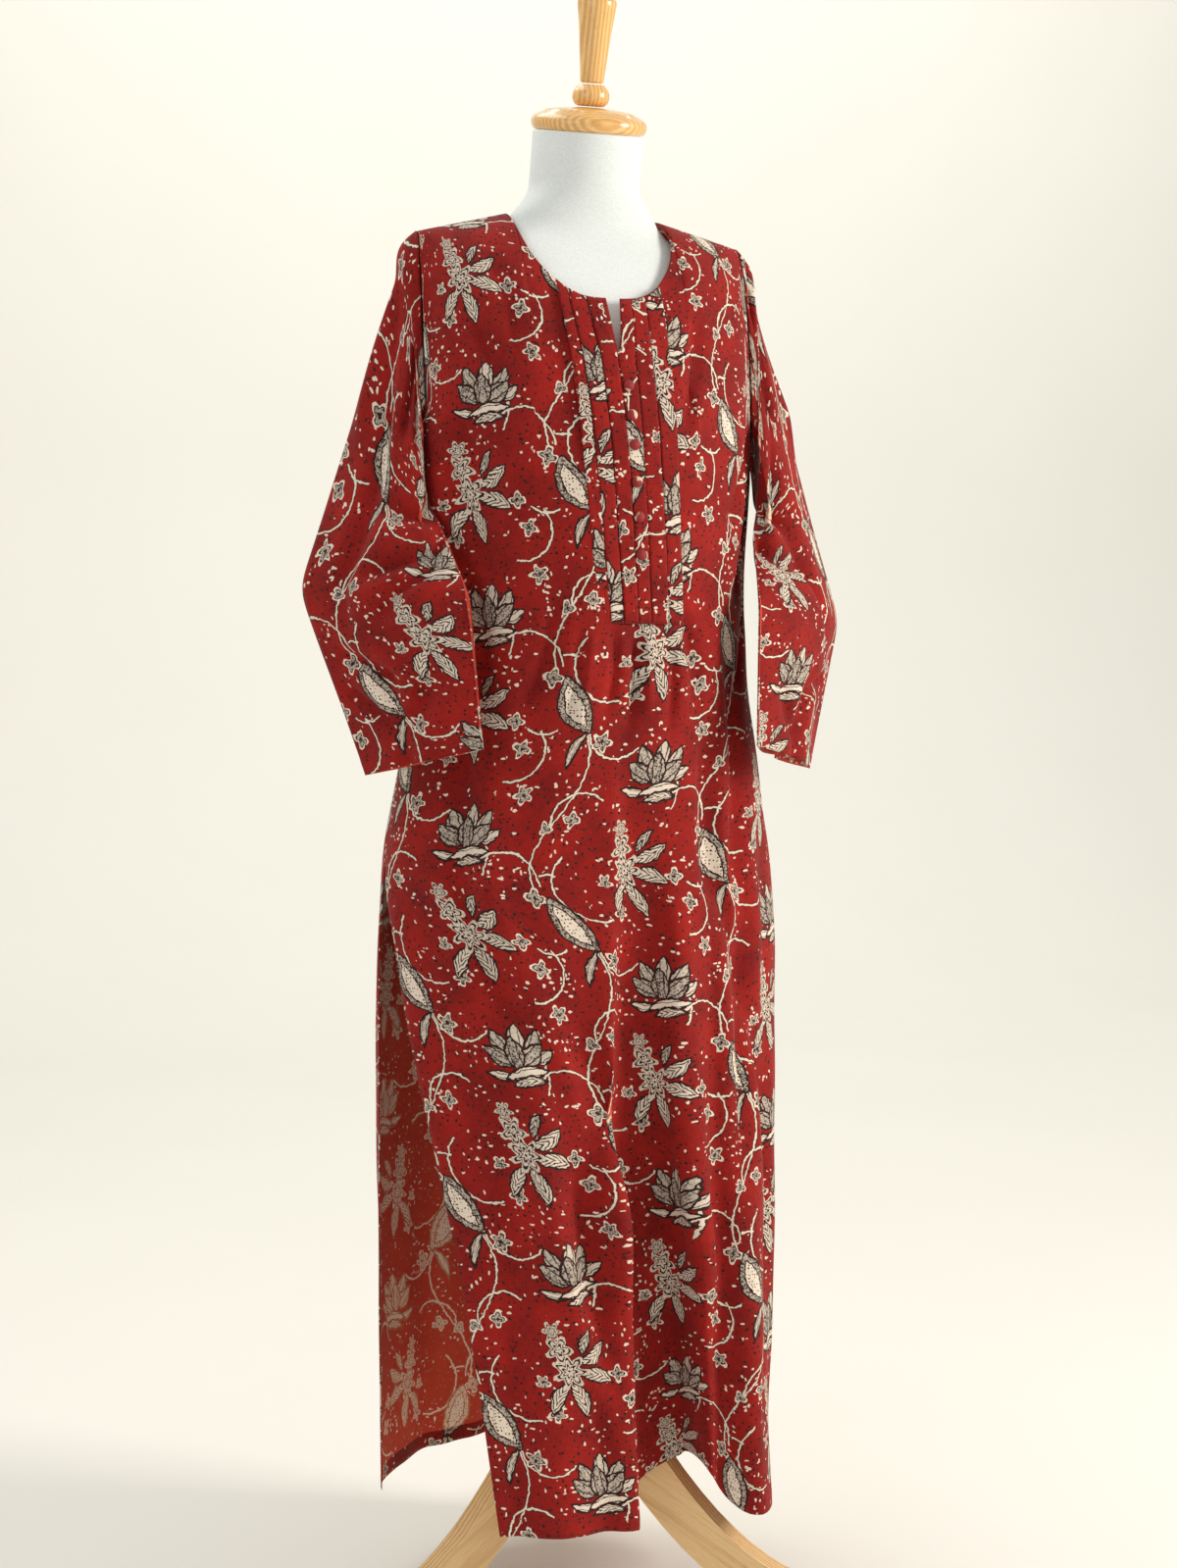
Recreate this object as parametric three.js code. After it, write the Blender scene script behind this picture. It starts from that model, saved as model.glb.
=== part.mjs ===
// A long cotton kurta tunic worn on a limbless dress form with a wooden tripod stand.
// Millimetres, +Z up. The garment faces -Y and +X is the wearer's left.
// The origin is on the floor, at the middle of the whole object's footprint.

import * as THREE from 'three';

// ---------------------------------------------------------------- driving sizes

const WALL = 1.6;            // cloth wall
const SEAM_GAP = 0.6;        // space between two pieces at a seam
const SEAM_Y = 8;            // plane of the side seams and shoulder seams

const HEM_Z = 108;
const CHEST_Z = 1130;        // the body is widest here, and the cloth starts to curve back to the shoulder
const NECK_POINT = { x: 79, z: 1393 };
const SHOULDER_TIP = { x: 166, z: 1372 };
const NECK_FRONT_Z = 1299;
const NECK_BACK_Z = 1366;
const NECK_CURVE = 2.2;      // exponent of the neckline's superellipse
const FRONT_FULLNESS = 2;    // exponent of the curve from the chest up and over to the shoulder seam
const BACK_FULLNESS = 2.5;
const SPLIT_DEPTH = 54;      // short opening below the front neck
const SPLIT_WIDTH = 14;
const SPLIT_REACH = 60;      // the cloth beside the opening is pushed aside this far out

// Half width, and depth in front of and behind the seam plane, at each height.
const BODY = [
  { z: 108, half: 203, front: 148, back: 182 },
  { z: 300, half: 206, front: 146, back: 165 },
  { z: 520, half: 208, front: 143, back: 145 },
  { z: 670, half: 208, front: 140, back: 130 },
  { z: 770, half: 200, front: 138, back: 120 },
  { z: 860, half: 184, front: 136, back: 106 },
  { z: 920, half: 174, front: 134, back: 98 },
  { z: 1000, half: 171, front: 134, back: 92 },
  { z: 1080, half: 174, front: 136, back: 92 },
  { z: 1130, half: 178, front: 136, back: 94 },
];

// Where each panel's edge at the open right slit lies, in degrees round from the panel's middle.
const SLIT_EDGES = [
  { z: 108, front: 36, back: 77 },
  { z: 254, front: 42, back: 80 },
  { z: 358, front: 47, back: 84 },
  { z: 487, front: 57, back: 89 },
  { z: 619, front: 70, back: 90 },
  { z: 685, front: 76, back: 90 },
  { z: 734, front: 90, back: 90 },
];

// The front's knife-edged fold: x of its edge, its deepest line and its far rim, how far it goes in,
// how far it tucks under its edge and then leans aside, how far the flute beside it stands out, and
// how far the cloth between them is lifted where the hem passes over a leg of the stand.
const FRONT_FOLD = [
  { z: 108, edge: 18, floor: 70, rim: 102, depth: 66, under: 40, lean: 14, flute: 36, lift: 50 },
  { z: 254, edge: 12, floor: 62, rim: 97, depth: 60, under: 32, lean: 8, flute: 24, lift: 12 },
  { z: 358, edge: 5, floor: 52, rim: 92, depth: 52, under: 26, lean: 5, flute: 15, lift: 0 },
  { z: 487, edge: -5, floor: 40, rim: 86, depth: 40, under: 16, lean: 2, flute: 7, lift: 0 },
  { z: 619, edge: -8, floor: 28, rim: 78, depth: 25, under: 8, lean: 0, flute: 3, lift: 0 },
  { z: 735, edge: -8, floor: 18, rim: 66, depth: 12, under: 2, lean: 0, flute: 0, lift: 0 },
  { z: 891, edge: -7, floor: 8, rim: 44, depth: 0, under: 0, lean: 0, flute: 0, lift: 0 },
];
const LIFT_FROM_X = 30;
const LIFT_TO_X = 132;
const FLUTE_END_X = 192;     // the left flute beside the fold dies out here

// Soft flutes of the back: where each is at the hem, its width, how far out it stands, where it starts.
const BACK_FLUTES = [
  { x: -128, width: 64, out: 13, top: 640 },
  { x: -30, width: 84, out: 16, top: 720 },
  { x: 84, width: 76, out: 12, top: 600 },
];

// Half width of a body panel at each part of the way round from chest to shoulder, in degrees.
const ARMHOLE = [
  { turn: 0, half: 178 },
  { turn: 10.5, half: 178 },
  { turn: 13, half: 172.5 },
  { turn: 17, half: 168 },
  { turn: 32, half: 169 },
  { turn: 60, half: 168.5 },
  { turn: 90, half: 166 },
];
const UNDERARM_TURN = 10.5;

// Columns of the body panels, in parts from the middle to the neck point and on to the side.
const NECK_COLUMNS = 5;
const SIDE_COLUMNS = 8;
const SKIRT_ROWS = [108, 124, 165, 215, 270, 330, 395, 460, 530, 600, 670, 734, 800, 865, 930, 1000, 1065];
const TOP_TURNS = [0, 0.117, 0.15, 0.2, 0.32, 0.45, 0.58, 0.7, 0.81, 0.91, 1];

// Stitched tucks: x of each fold line at the neck and where the tucks end, named from the
// wearer's right. The button stand lies between the third and fourth bands.
const TUCK_TOP_Z = 1290;
const TUCK_END_Z = 987;
const TUCK_LINES = [
  { top: -53, end: -24 },
  { top: -41, end: -11 },
  { top: -22, end: 2 },
  { top: -6, end: 16.5 },
  { top: 13, end: 30 },
  { top: 29, end: 49 },
  { top: 50, end: 65 },
];
const TUCK_NAMES = [
  'tuck_right_outer', 'tuck_right_inner', 'placket_edge',
  'button_stand', 'tuck_left_inner', 'tuck_left_outer',
];
const TUCK_WALL = 1.1;
const TUCK_GAP = 0.35;       // between neighbours
const TUCK_LIFT = 0.9;       // off the panel's curve, so that the straight facets stay apart too
const TUCK_STEP = 24;

const BUTTON = { radius: 5.4, height: 5, edge: 1, sides: 12 };
const BUTTON_HEIGHTS = [1213, 1185, 1157, 1122, 1089, 1053];
const BUTTON_PLACE = 0.42;   // part of the way across the button stand
const BUTTON_LIFT = 0.5;

// Sleeves, each seen from its own side: x counts away from the middle. Both are pressed flat,
// with one crease to the outside and one to the front.
const SLEEVES = [
  {
    name: 'sleeve_right', side: -1,
    elbowOuter: { x: 281, y: 24, z: 1022 }, elbowInner: { x: 147, y: -113, z: 1012 },
    cuffOuter: { x: 231, y: -40, z: 842 }, cuffInner: { x: 139, y: -130, z: 869 },
  },
  {
    name: 'sleeve_left', side: 1,
    elbowOuter: { x: 291, y: 20, z: 994 }, elbowInner: { x: 147, y: -113, z: 1004 },
    cuffOuter: { x: 233, y: -40, z: 842 }, cuffInner: { x: 138, y: -130, z: 869 },
  },
];
const SLEEVE_ROWS_UPPER = [0, 0.08, 0.2, 0.34, 0.5, 0.67, 0.84, 1];
const SLEEVE_ROWS_LOWER = [0.25, 0.5, 0.75, 1];
const SLEEVE_SIDE_POINTS = 10;  // round each of the two pressed layers
const ELBOW_THICKNESS = 44;
const CUFF_THICKNESS = 30;
const SLEEVE_CLEARANCE = 7;  // off the body panels
const SEAM_STEP_OUT = 1.7;   // the sleeve starts this far outside the armhole

// The covered form: height, half width, depth front and back, and how far forward its middle is.
const FORM = [
  { z: 603, half: 172, front: 98, back: 98, middle: 8 },
  { z: 640, half: 178, front: 103, back: 103, middle: 8 },
  { z: 720, half: 176, front: 106, back: 104, middle: 8 },
  { z: 810, half: 164, front: 106, back: 94, middle: 8 },
  { z: 900, half: 140, front: 100, back: 80, middle: 8 },
  { z: 975, half: 130, front: 100, back: 76, middle: 8 },
  { z: 1060, half: 150, front: 116, back: 80, middle: 8 },
  { z: 1130, half: 160, front: 128, back: 86, middle: 8 },
  { z: 1190, half: 162, front: 126, back: 86, middle: 8 },
  { z: 1250, half: 160, front: 115, back: 80, middle: 8 },
  { z: 1300, half: 158, front: 98, back: 70, middle: 8 },
  { z: 1330, half: 152, front: 80, back: 62, middle: 8 },
  { z: 1352, half: 134, front: 65, back: 54, middle: 6 },
  { z: 1368, half: 97, front: 53, back: 48, middle: 3 },
  { z: 1381, half: 79, front: 49, back: 45, middle: 0 },
  { z: 1393, half: 74, front: 50, back: 47, middle: -3 },
  { z: 1402, half: 63, front: 52, back: 51, middle: -5 },
];
const FORM_SIDES = 28;
const NECK = { radius: 55, baseZ: 1412, topZ: 1479, baseY: -7, topY: -23, tilt: 13 };

// Turned wooden top, leaning with the neck: radius and height up its own axis.
const CAP_PROFILE = [[0, 0], [53, 0], [56.5, 4], [57.5, 9], [54, 15], [44, 20], [28, 23.5], [0, 25]];
const COLLAR_PROFILE = [[0, 25.4], [13, 25.4], [17.5, 29], [18.5, 35], [17, 41], [13.5, 45], [0, 47]];
const HANDLE_PROFILE = [
  [0, 47.4], [11.5, 47.4], [12.5, 60], [15, 90], [18.5, 116], [19.5, 122], [18, 126], [0, 127],
];
const CAP_LIFT = 0.4;        // above the neck's top
const TOP_SIDES = 24;

const POLE = { radius: 15, bottomZ: 262.4, topZ: 602.6 };
const HUB = { radius: 34, bottomZ: 150, topZ: 262 };
// Each leg's centre line is a parabola, lowest at vertexR from the pole, cut off at its two ends.
const LEG = {
  thickness: 24, depthTop: 50, depthFoot: 40, start: 34.6, end: 268, vertexR: 265, vertexZ: 18,
  bend: 0.00333,
  azimuths: [-70, 50, 170],  // degrees from straight ahead, towards the wearer's left
  steps: 12,
};

const COLOURS = {
  cotton: 0x9c1f1f, button: 0x8a1a1b, cover: 0xd9dcd8, wood: 0xcf9a56, pole: 0xb8b8b4,
};
const LACQUER_ROUGHNESS = 0.3;
const STAND_ROUGHNESS = 0.4;

// ---------------------------------------------------------------- shared geometry

const radians = THREE.MathUtils.degToRad;

// Reads a table sorted by one column at any value of it, on straight lines between rows.
function readTable(table, column, value, key) {
  if (value <= table[0][column]) return table[0][key];
  for (let i = 1; i < table.length; i += 1) {
    const low = table[i - 1];
    const high = table[i];
    if (value <= high[column]) {
      const part = (value - low[column]) / (high[column] - low[column]);
      return low[key] + (high[key] - low[key]) * part;
    }
  }
  return table[table.length - 1][key];
}

// Points at the given parts of the way along a line of points.
function pointsAlong(line, parts) {
  const reach = [0];
  for (let i = 1; i < line.length; i += 1) reach.push(reach[i - 1] + line[i].distanceTo(line[i - 1]));
  const total = reach[reach.length - 1];
  let i = 1;
  return parts.map((part) => {
    const target = part * total;
    while (i < line.length - 1 && reach[i] < target) i += 1;
    const step = (target - reach[i - 1]) / (reach[i] - reach[i - 1]);
    return line[i - 1].clone().lerp(line[i], THREE.MathUtils.clamp(step, 0, 1));
  });
}

// A closed wall: the given surface, a copy of it moved in by the wall, and faces round its edges.
// Points on the seam plane move along it, so that two panels meet squarely there.
function wallBody(points, triangles, wall) {
  const normals = points.map(() => new THREE.Vector3());
  for (const [a, b, c] of triangles) {
    const face = new THREE.Vector3().subVectors(points[b], points[a])
      .cross(new THREE.Vector3().subVectors(points[c], points[a]));
    for (const corner of [a, b, c]) normals[corner].add(face);
  }
  points.forEach((point, i) => {
    if (Math.abs(point.y - SEAM_Y) < SEAM_GAP) normals[i].setY(0);
  });
  const inner = points.map((point, i) => point.clone().addScaledVector(normals[i].normalize(), -wall));
  const count = points.length;
  const faces = [];
  const edges = new Map();
  for (const [a, b, c] of triangles) {
    faces.push([a, b, c], [a + count, c + count, b + count]);
    for (const [from, to] of [[a, b], [b, c], [c, a]]) edges.set(`${from} ${to}`, [from, to]);
  }
  for (const [from, to] of edges.values()) {
    if (!edges.has(`${to} ${from}`)) {
      faces.push([to, from, from + count], [to, from + count, to + count]);
    }
  }
  return closedGeometry([...points, ...inner], faces);
}

function closedGeometry(points, faces) {
  const geometry = new THREE.BufferGeometry();
  geometry.setAttribute('position', new THREE.Float32BufferAttribute(points.flatMap((p) => p.toArray()), 3));
  geometry.setIndex(faces.flat());
  geometry.computeVertexNormals();
  return geometry;
}

// Two triangles for each cell of a grid of point numbers. Rows go up, and columns go towards
// the right as seen from outside. The shorter diagonal is the one that bends least.
function gridTriangles(grid, points) {
  const triangles = [];
  for (let i = 0; i + 1 < grid.length; i += 1) {
    for (let j = 0; j + 1 < grid[i].length; j += 1) {
      const a = grid[i][j];
      const b = grid[i][j + 1];
      const c = grid[i + 1][j + 1];
      const d = grid[i + 1][j];
      if (points[a].distanceTo(points[c]) <= points[b].distanceTo(points[d])) {
        triangles.push([a, b, c], [a, c, d]);
      } else {
        triangles.push([a, b, d], [b, c, d]);
      }
    }
  }
  return triangles;
}

// A solid through rings of points, each with the same number, closed by a fan at each end.
function ringSolid(rings) {
  const sides = rings[0].length;
  const points = rings.flat();
  const faces = [];
  for (let i = 0; i + 1 < rings.length; i += 1) {
    for (let j = 0; j < sides; j += 1) {
      const next = (j + 1) % sides;
      const a = i * sides + j;
      const b = i * sides + next;
      faces.push([a, b, b + sides], [a, b + sides, a + sides]);
    }
  }
  for (const [ring, first] of [[rings[0], 0], [rings[rings.length - 1], (rings.length - 1) * sides]]) {
    const middle = new THREE.Vector3();
    for (const point of ring) middle.addScaledVector(point, 1 / sides);
    points.push(middle);
    for (let j = 0; j < sides; j += 1) {
      const next = (j + 1) % sides;
      const face = [points.length - 1, first + next, first + j];
      faces.push(first === 0 ? face : face.reverse());
    }
  }
  return closedGeometry(points, faces);
}

const kurtaOnForm = new THREE.Group();

function addPiece(name, geometry, colour, roughness = 0.9) {
  const material = new THREE.MeshStandardMaterial({ color: colour, roughness, metalness: 0 });
  const mesh = new THREE.Mesh(geometry, material);
  mesh.name = name;
  kurtaOnForm.add(mesh);
  return mesh;
}

// ---------------------------------------------------------------- the draped body of the kurta

const bodyAt = (z, key) => readTable(BODY, 'z', z, key);
const foldAt = (z, key) => readTable(FRONT_FOLD, 'z', z, key);

function shoulderHeight(x) {
  const drop = (NECK_POINT.z - SHOULDER_TIP.z) / (SHOULDER_TIP.x - NECK_POINT.x);
  return NECK_POINT.z - drop * (Math.max(Math.abs(x), NECK_POINT.x) - NECK_POINT.x);
}

function neckHeight(x, lowest) {
  const across = Math.min(Math.abs(x) / NECK_POINT.x, 1);
  return NECK_POINT.z - (NECK_POINT.z - lowest) * (1 - across ** NECK_CURVE) ** (1 / NECK_CURVE);
}

// How far in the front fold goes at x, as a part of its depth: sharp at its edge, round at its floor.
function foldShape(x, edge, floor, rim) {
  if (x <= edge || x >= rim) return 0;
  if (x < floor) return Math.sin((Math.PI / 2) * (x - edge) / (floor - edge));
  return 0.5 + 0.5 * Math.cos(Math.PI * (x - floor) / (rim - floor));
}

function softBump(x, from, to) {
  if (x <= from || x >= to) return 0;
  return 0.5 - 0.5 * Math.cos(2 * Math.PI * (x - from) / (to - from));
}

// One level line of the front below the chest, from the wearer's right edge to the left.
function frontLevel(z) {
  const half = bodyAt(z, 'half');
  const front = bodyAt(z, 'front');
  const edge = foldAt(z, 'edge');
  const floor = foldAt(z, 'floor');
  const rim = foldAt(z, 'rim');
  const first = -readTable(SLIT_EDGES, 'z', z, 'front');
  const line = [];
  const steps = 240;
  for (let k = 0; k <= steps; k += 1) {
    const angle = radians(first + (90 - first) * (k / steps));
    const x = half * Math.sin(angle);
    const inward = foldShape(x, edge, floor, rim);
    const outward = softBump(x, rim, FLUTE_END_X) * foldAt(z, 'flute');
    const y = SEAM_Y - front * Math.cos(angle) + foldAt(z, 'depth') * inward - outward;
    const wallPart = THREE.MathUtils.clamp((x - edge) / (floor - edge), 0, 1);
    const aside = foldAt(z, 'lean') * inward - foldAt(z, 'under') * Math.sin(Math.PI * wallPart);
    const lift = foldAt(z, 'lift') * softBump(x, LIFT_FROM_X, LIFT_TO_X);
    line.push(new THREE.Vector3(x + aside, y, z + lift));
  }
  return line;
}

// One level line of the back, from the wearer's left edge to the right.
function backLevel(z) {
  const half = bodyAt(z, 'half');
  const back = bodyAt(z, 'back');
  const last = readTable(SLIT_EDGES, 'z', z, 'back');
  const line = [];
  const steps = 240;
  for (let k = 0; k <= steps; k += 1) {
    const angle = radians(-90 + (90 + last) * (k / steps));
    const x = -half * Math.sin(angle);
    let out = 0;
    for (const flute of BACK_FLUTES) {
      const grown = THREE.MathUtils.clamp((flute.top - z) / (flute.top - HEM_Z), 0, 1);
      out += grown * flute.out * softBump(x, flute.x - flute.width / 2, flute.x + flute.width / 2);
    }
    line.push(new THREE.Vector3(x, SEAM_Y + back * Math.cos(angle) + out, z));
  }
  return line;
}

// A panel's columns, as the sine of each one's angle round the body, from -1 to 1.
function panelColumns() {
  const neckSine = NECK_POINT.x / readTable(ARMHOLE, 'turn', 90, 'half');
  const neckAngle = Math.asin(neckSine);
  const half = [0];
  for (let j = 1; j <= NECK_COLUMNS; j += 1) {
    half.push(neckSine * Math.sin((Math.PI / 2) * (j / NECK_COLUMNS)));
  }
  for (let j = 1; j <= SIDE_COLUMNS; j += 1) {
    half.push(Math.sin(neckAngle + (Math.PI / 2 - neckAngle) * (j / SIDE_COLUMNS)));
  }
  return [...half.slice(1).reverse().map((sine) => -sine), ...half];
}

const COLUMNS = panelColumns();
const MIDDLE_COLUMN = (COLUMNS.length - 1) / 2;

// Parts of the way along a level line at which the columns lie, the same at every height.
function columnParts(depth) {
  const half = bodyAt(CHEST_Z, 'half');
  const reach = [0];
  const steps = 40;
  for (let j = 1; j < COLUMNS.length; j += 1) {
    let length = 0;
    const from = Math.asin(COLUMNS[j - 1]);
    const to = Math.asin(COLUMNS[j]);
    for (let k = 0; k < steps; k += 1) {
      const angle = from + (to - from) * ((k + 0.5) / steps);
      length += Math.hypot(half * Math.cos(angle), depth * Math.sin(angle)) * (to - from) / steps;
    }
    reach.push(reach[j - 1] + length);
  }
  return reach.map((value) => value / reach[reach.length - 1]);
}

// How far out the body still is, as a part of its chest depth, at a part of the way up to the shoulder.
function outPart(upPart, fullness) {
  return Math.max(0, 1 - upPart ** fullness) ** (1 / fullness);
}

// A point above the chest: turn is the way round from the chest, 0, to the shoulder seam, 1.
// Each column ends at the shoulder seam, or at the neckline where that is lower.
function topPoint(sine, part, { depth, neckLowest, fullness, side }) {
  const chestHalf = bodyAt(CHEST_Z, 'half');
  const endX = readTable(ARMHOLE, 'turn', 90, 'half') * sine;
  const rise = (neckHeight(endX, neckLowest) - CHEST_Z) / (shoulderHeight(endX) - CHEST_Z);
  const lastTurn = Math.abs(endX) < NECK_POINT.x ? Math.asin(Math.min(rise, 1)) : Math.PI / 2;
  const turn = lastTurn * part;
  const x = sine * readTable(ARMHOLE, 'turn', THREE.MathUtils.radToDeg(turn), 'half');
  const depthHere = depth * Math.sqrt(Math.max(0, 1 - (x / chestHalf) ** 2));
  const z = CHEST_Z + (shoulderHeight(x) - CHEST_Z) * Math.sin(turn);
  const out = depthHere * outPart(Math.sin(turn), fullness) + SEAM_GAP / 2;
  return new THREE.Vector3(x, SEAM_Y + side * out, z);
}

// The front's surface at any x and height above the fold.
function frontPoint(x, z) {
  if (z <= CHEST_Z) {
    const across = Math.sqrt(1 - (x / bodyAt(z, 'half')) ** 2);
    return new THREE.Vector3(x, SEAM_Y - SEAM_GAP / 2 - bodyAt(z, 'front') * across, z);
  }
  const depth = bodyAt(CHEST_Z, 'front') * Math.sqrt(1 - (x / bodyAt(CHEST_Z, 'half')) ** 2);
  const rise = (z - CHEST_Z) / (shoulderHeight(x) - CHEST_Z);
  return new THREE.Vector3(x, SEAM_Y - SEAM_GAP / 2 - depth * outPart(rise, FRONT_FULLNESS), z);
}

function frontNormal(x, z) {
  const step = 0.5;
  const across = frontPoint(x + step, z).sub(frontPoint(x - step, z));
  const up = frontPoint(x, z + step).sub(frontPoint(x, z - step));
  return across.cross(up).normalize();
}

// Half the width of the opening below the neck, at a height on the middle of the front.
function splitHalf(z) {
  const part = (z - (NECK_FRONT_Z - SPLIT_DEPTH)) / SPLIT_DEPTH;
  return THREE.MathUtils.clamp(part, 0, 1) ** 0.7 * SPLIT_WIDTH / 2;
}

function makeFront() {
  const shape = {
    depth: bodyAt(CHEST_Z, 'front'), neckLowest: NECK_FRONT_Z, fullness: FRONT_FULLNESS, side: -1,
  };
  const parts = columnParts(bodyAt(CHEST_Z, 'front'));
  const rows = SKIRT_ROWS.map((z) => pointsAlong(frontLevel(z), parts)
    .map((point) => point.setY(point.y - SEAM_GAP / 2)));
  for (const part of TOP_TURNS) {
    rows.push(COLUMNS.map((sine) => topPoint(sine, part, shape)));
  }
  const points = [];
  const halves = [[], []];
  for (const row of rows) {
    const middleZ = row[MIDDLE_COLUMN].z;
    const gap = splitHalf(middleZ);
    const numbers = row.map((point) => {
      const push = gap * Math.max(0, 1 - Math.abs(point.x) / SPLIT_REACH) * Math.sign(point.x);
      points.push(point.clone().setX(point.x + push));
      return points.length - 1;
    });
    const left = numbers.slice(MIDDLE_COLUMN);
    if (gap > 0) {
      points[left[0]].x = -gap;
      points.push(points[left[0]].clone().setX(gap));
      left[0] = points.length - 1;
    }
    halves[0].push(numbers.slice(0, MIDDLE_COLUMN + 1));
    halves[1].push(left);
  }
  const triangles = halves.flatMap((half) => gridTriangles(half, points));
  return wallBody(points, triangles, WALL);
}

function makeBack() {
  const shape = {
    depth: bodyAt(CHEST_Z, 'back'), neckLowest: NECK_BACK_Z, fullness: BACK_FULLNESS, side: 1,
  };
  const parts = columnParts(bodyAt(CHEST_Z, 'back'));
  const rows = SKIRT_ROWS.map((z) => pointsAlong(backLevel(z), parts)
    .map((point) => point.setY(point.y + SEAM_GAP / 2)));
  for (const part of TOP_TURNS) {
    rows.push(COLUMNS.map((sine) => topPoint(-sine, part, shape)));
  }
  const points = rows.flat();
  const grid = rows.map((row, i) => row.map((_, j) => i * COLUMNS.length + j));
  return wallBody(points, gridTriangles(grid, points), WALL);
}

addPiece('front', makeFront(), COLOURS.cotton);
addPiece('back', makeBack(), COLOURS.cotton);

// ---------------------------------------------------------------- tucks, placket and buttons

function tuckLineX(line, z) {
  const down = (TUCK_TOP_Z - z) / (TUCK_TOP_Z - TUCK_END_Z);
  return line.top + (line.end - line.top) * down;
}

// A band between two fold lines, laid on the front. It starts just below the neck edge.
function makeTuck(from, to) {
  const rows = [];
  const steps = Math.ceil((TUCK_TOP_Z - TUCK_END_Z) / TUCK_STEP);
  for (let i = 0; i <= steps; i += 1) {
    rows.push([0, 0.5, 1].map((across) => {
      const foot = THREE.MathUtils.lerp(from.end + TUCK_GAP / 2, to.end - TUCK_GAP / 2, across);
      const head = THREE.MathUtils.lerp(from.top + TUCK_GAP / 2, to.top - TUCK_GAP / 2, across);
      const topZ = neckHeight(head, NECK_FRONT_Z) - 3;
      const z = TUCK_END_Z + (topZ - TUCK_END_Z) * (i / steps);
      const x = foot + (head - foot) * (i / steps);
      return frontPoint(x, z).addScaledVector(frontNormal(x, z), TUCK_LIFT + TUCK_WALL);
    }));
  }
  const points = rows.flat();
  const grid = rows.map((row, i) => row.map((_, j) => i * row.length + j));
  return wallBody(points, gridTriangles(grid, points), TUCK_WALL);
}

TUCK_NAMES.forEach((name, i) => addPiece(name, makeTuck(TUCK_LINES[i], TUCK_LINES[i + 1]), COLOURS.cotton));

// A domed cloth-covered button, standing on the button stand.
const buttonProfile = [new THREE.Vector2(0, 0), new THREE.Vector2(BUTTON.radius * 0.86, 0)];
for (const angle of [0, 30, 60]) {
  const round = radians(angle);
  const rise = BUTTON.edge + (BUTTON.height - BUTTON.edge) * Math.sin(round);
  buttonProfile.push(new THREE.Vector2(BUTTON.radius * Math.cos(round), rise));
}
buttonProfile.push(new THREE.Vector2(0, BUTTON.height));

BUTTON_HEIGHTS.forEach((z, i) => {
  const x = THREE.MathUtils.lerp(tuckLineX(TUCK_LINES[3], z), tuckLineX(TUCK_LINES[4], z), BUTTON_PLACE);
  const out = frontNormal(x, z);
  const dome = new THREE.LatheGeometry(buttonProfile, BUTTON.sides);
  const button = addPiece(`button_${i + 1}`, dome, COLOURS.button);
  button.position.copy(frontPoint(x, z)).addScaledVector(out, TUCK_LIFT + TUCK_WALL + BUTTON_LIFT);
  button.quaternion.setFromUnitVectors(new THREE.Vector3(0, 1, 0), out);
});

// ---------------------------------------------------------------- sleeves

// The armhole's edge from the shoulder tip down to the underarm, on the front or the back.
function armholeEdge(depth, fullness, side) {
  const line = [];
  const steps = 60;
  for (let k = 0; k <= steps; k += 1) {
    const turn = radians(90 + (UNDERARM_TURN - 90) * (k / steps));
    const half = readTable(ARMHOLE, 'turn', THREE.MathUtils.radToDeg(turn), 'half');
    const depthHere = depth * Math.sqrt(Math.max(0, 1 - (half / bodyAt(CHEST_Z, 'half')) ** 2));
    const z = CHEST_Z + (shoulderHeight(half) - CHEST_Z) * Math.sin(turn);
    line.push(new THREE.Vector3(half, SEAM_Y + side * depthHere * outPart(Math.sin(turn), fullness), z));
  }
  return line;
}

// A pressed-flat section: two bowed layers between its two creases.
function pressedRing(outer, inner, thickness) {
  const middle = outer.clone().lerp(inner, 0.5);
  const across = inner.clone().sub(outer);
  const bow = new THREE.Vector3(across.y, -across.x, 0).normalize();
  const ring = [];
  const sides = 2 * SLEEVE_SIDE_POINTS;
  for (let k = 0; k < sides; k += 1) {
    const turn = 2 * Math.PI * (k / sides);
    const along = (1 - 2 * Math.abs(1 - (2 * k) / sides));
    const bulge = Math.sin(turn) * Math.abs(Math.sin(turn)) ** 0.3 * thickness / 2;
    ring.push(middle.clone().addScaledVector(across, along / 2).addScaledVector(bow, -bulge));
  }
  return ring;
}

// Moves a sleeve's point out of the body until it stands clear of the panels.
function clearOfBody(point) {
  const z = Math.min(point.z, CHEST_Z);
  const half = bodyAt(z, 'half') + SLEEVE_CLEARANCE;
  const depth = bodyAt(z, point.y < SEAM_Y ? 'front' : 'back') + SLEEVE_CLEARANCE;
  const reach = Math.hypot(point.x / half, (point.y - SEAM_Y) / depth);
  if (reach >= 1) return point;
  return point.clone().set(point.x / reach, SEAM_Y + (point.y - SEAM_Y) / reach, point.z);
}

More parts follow.
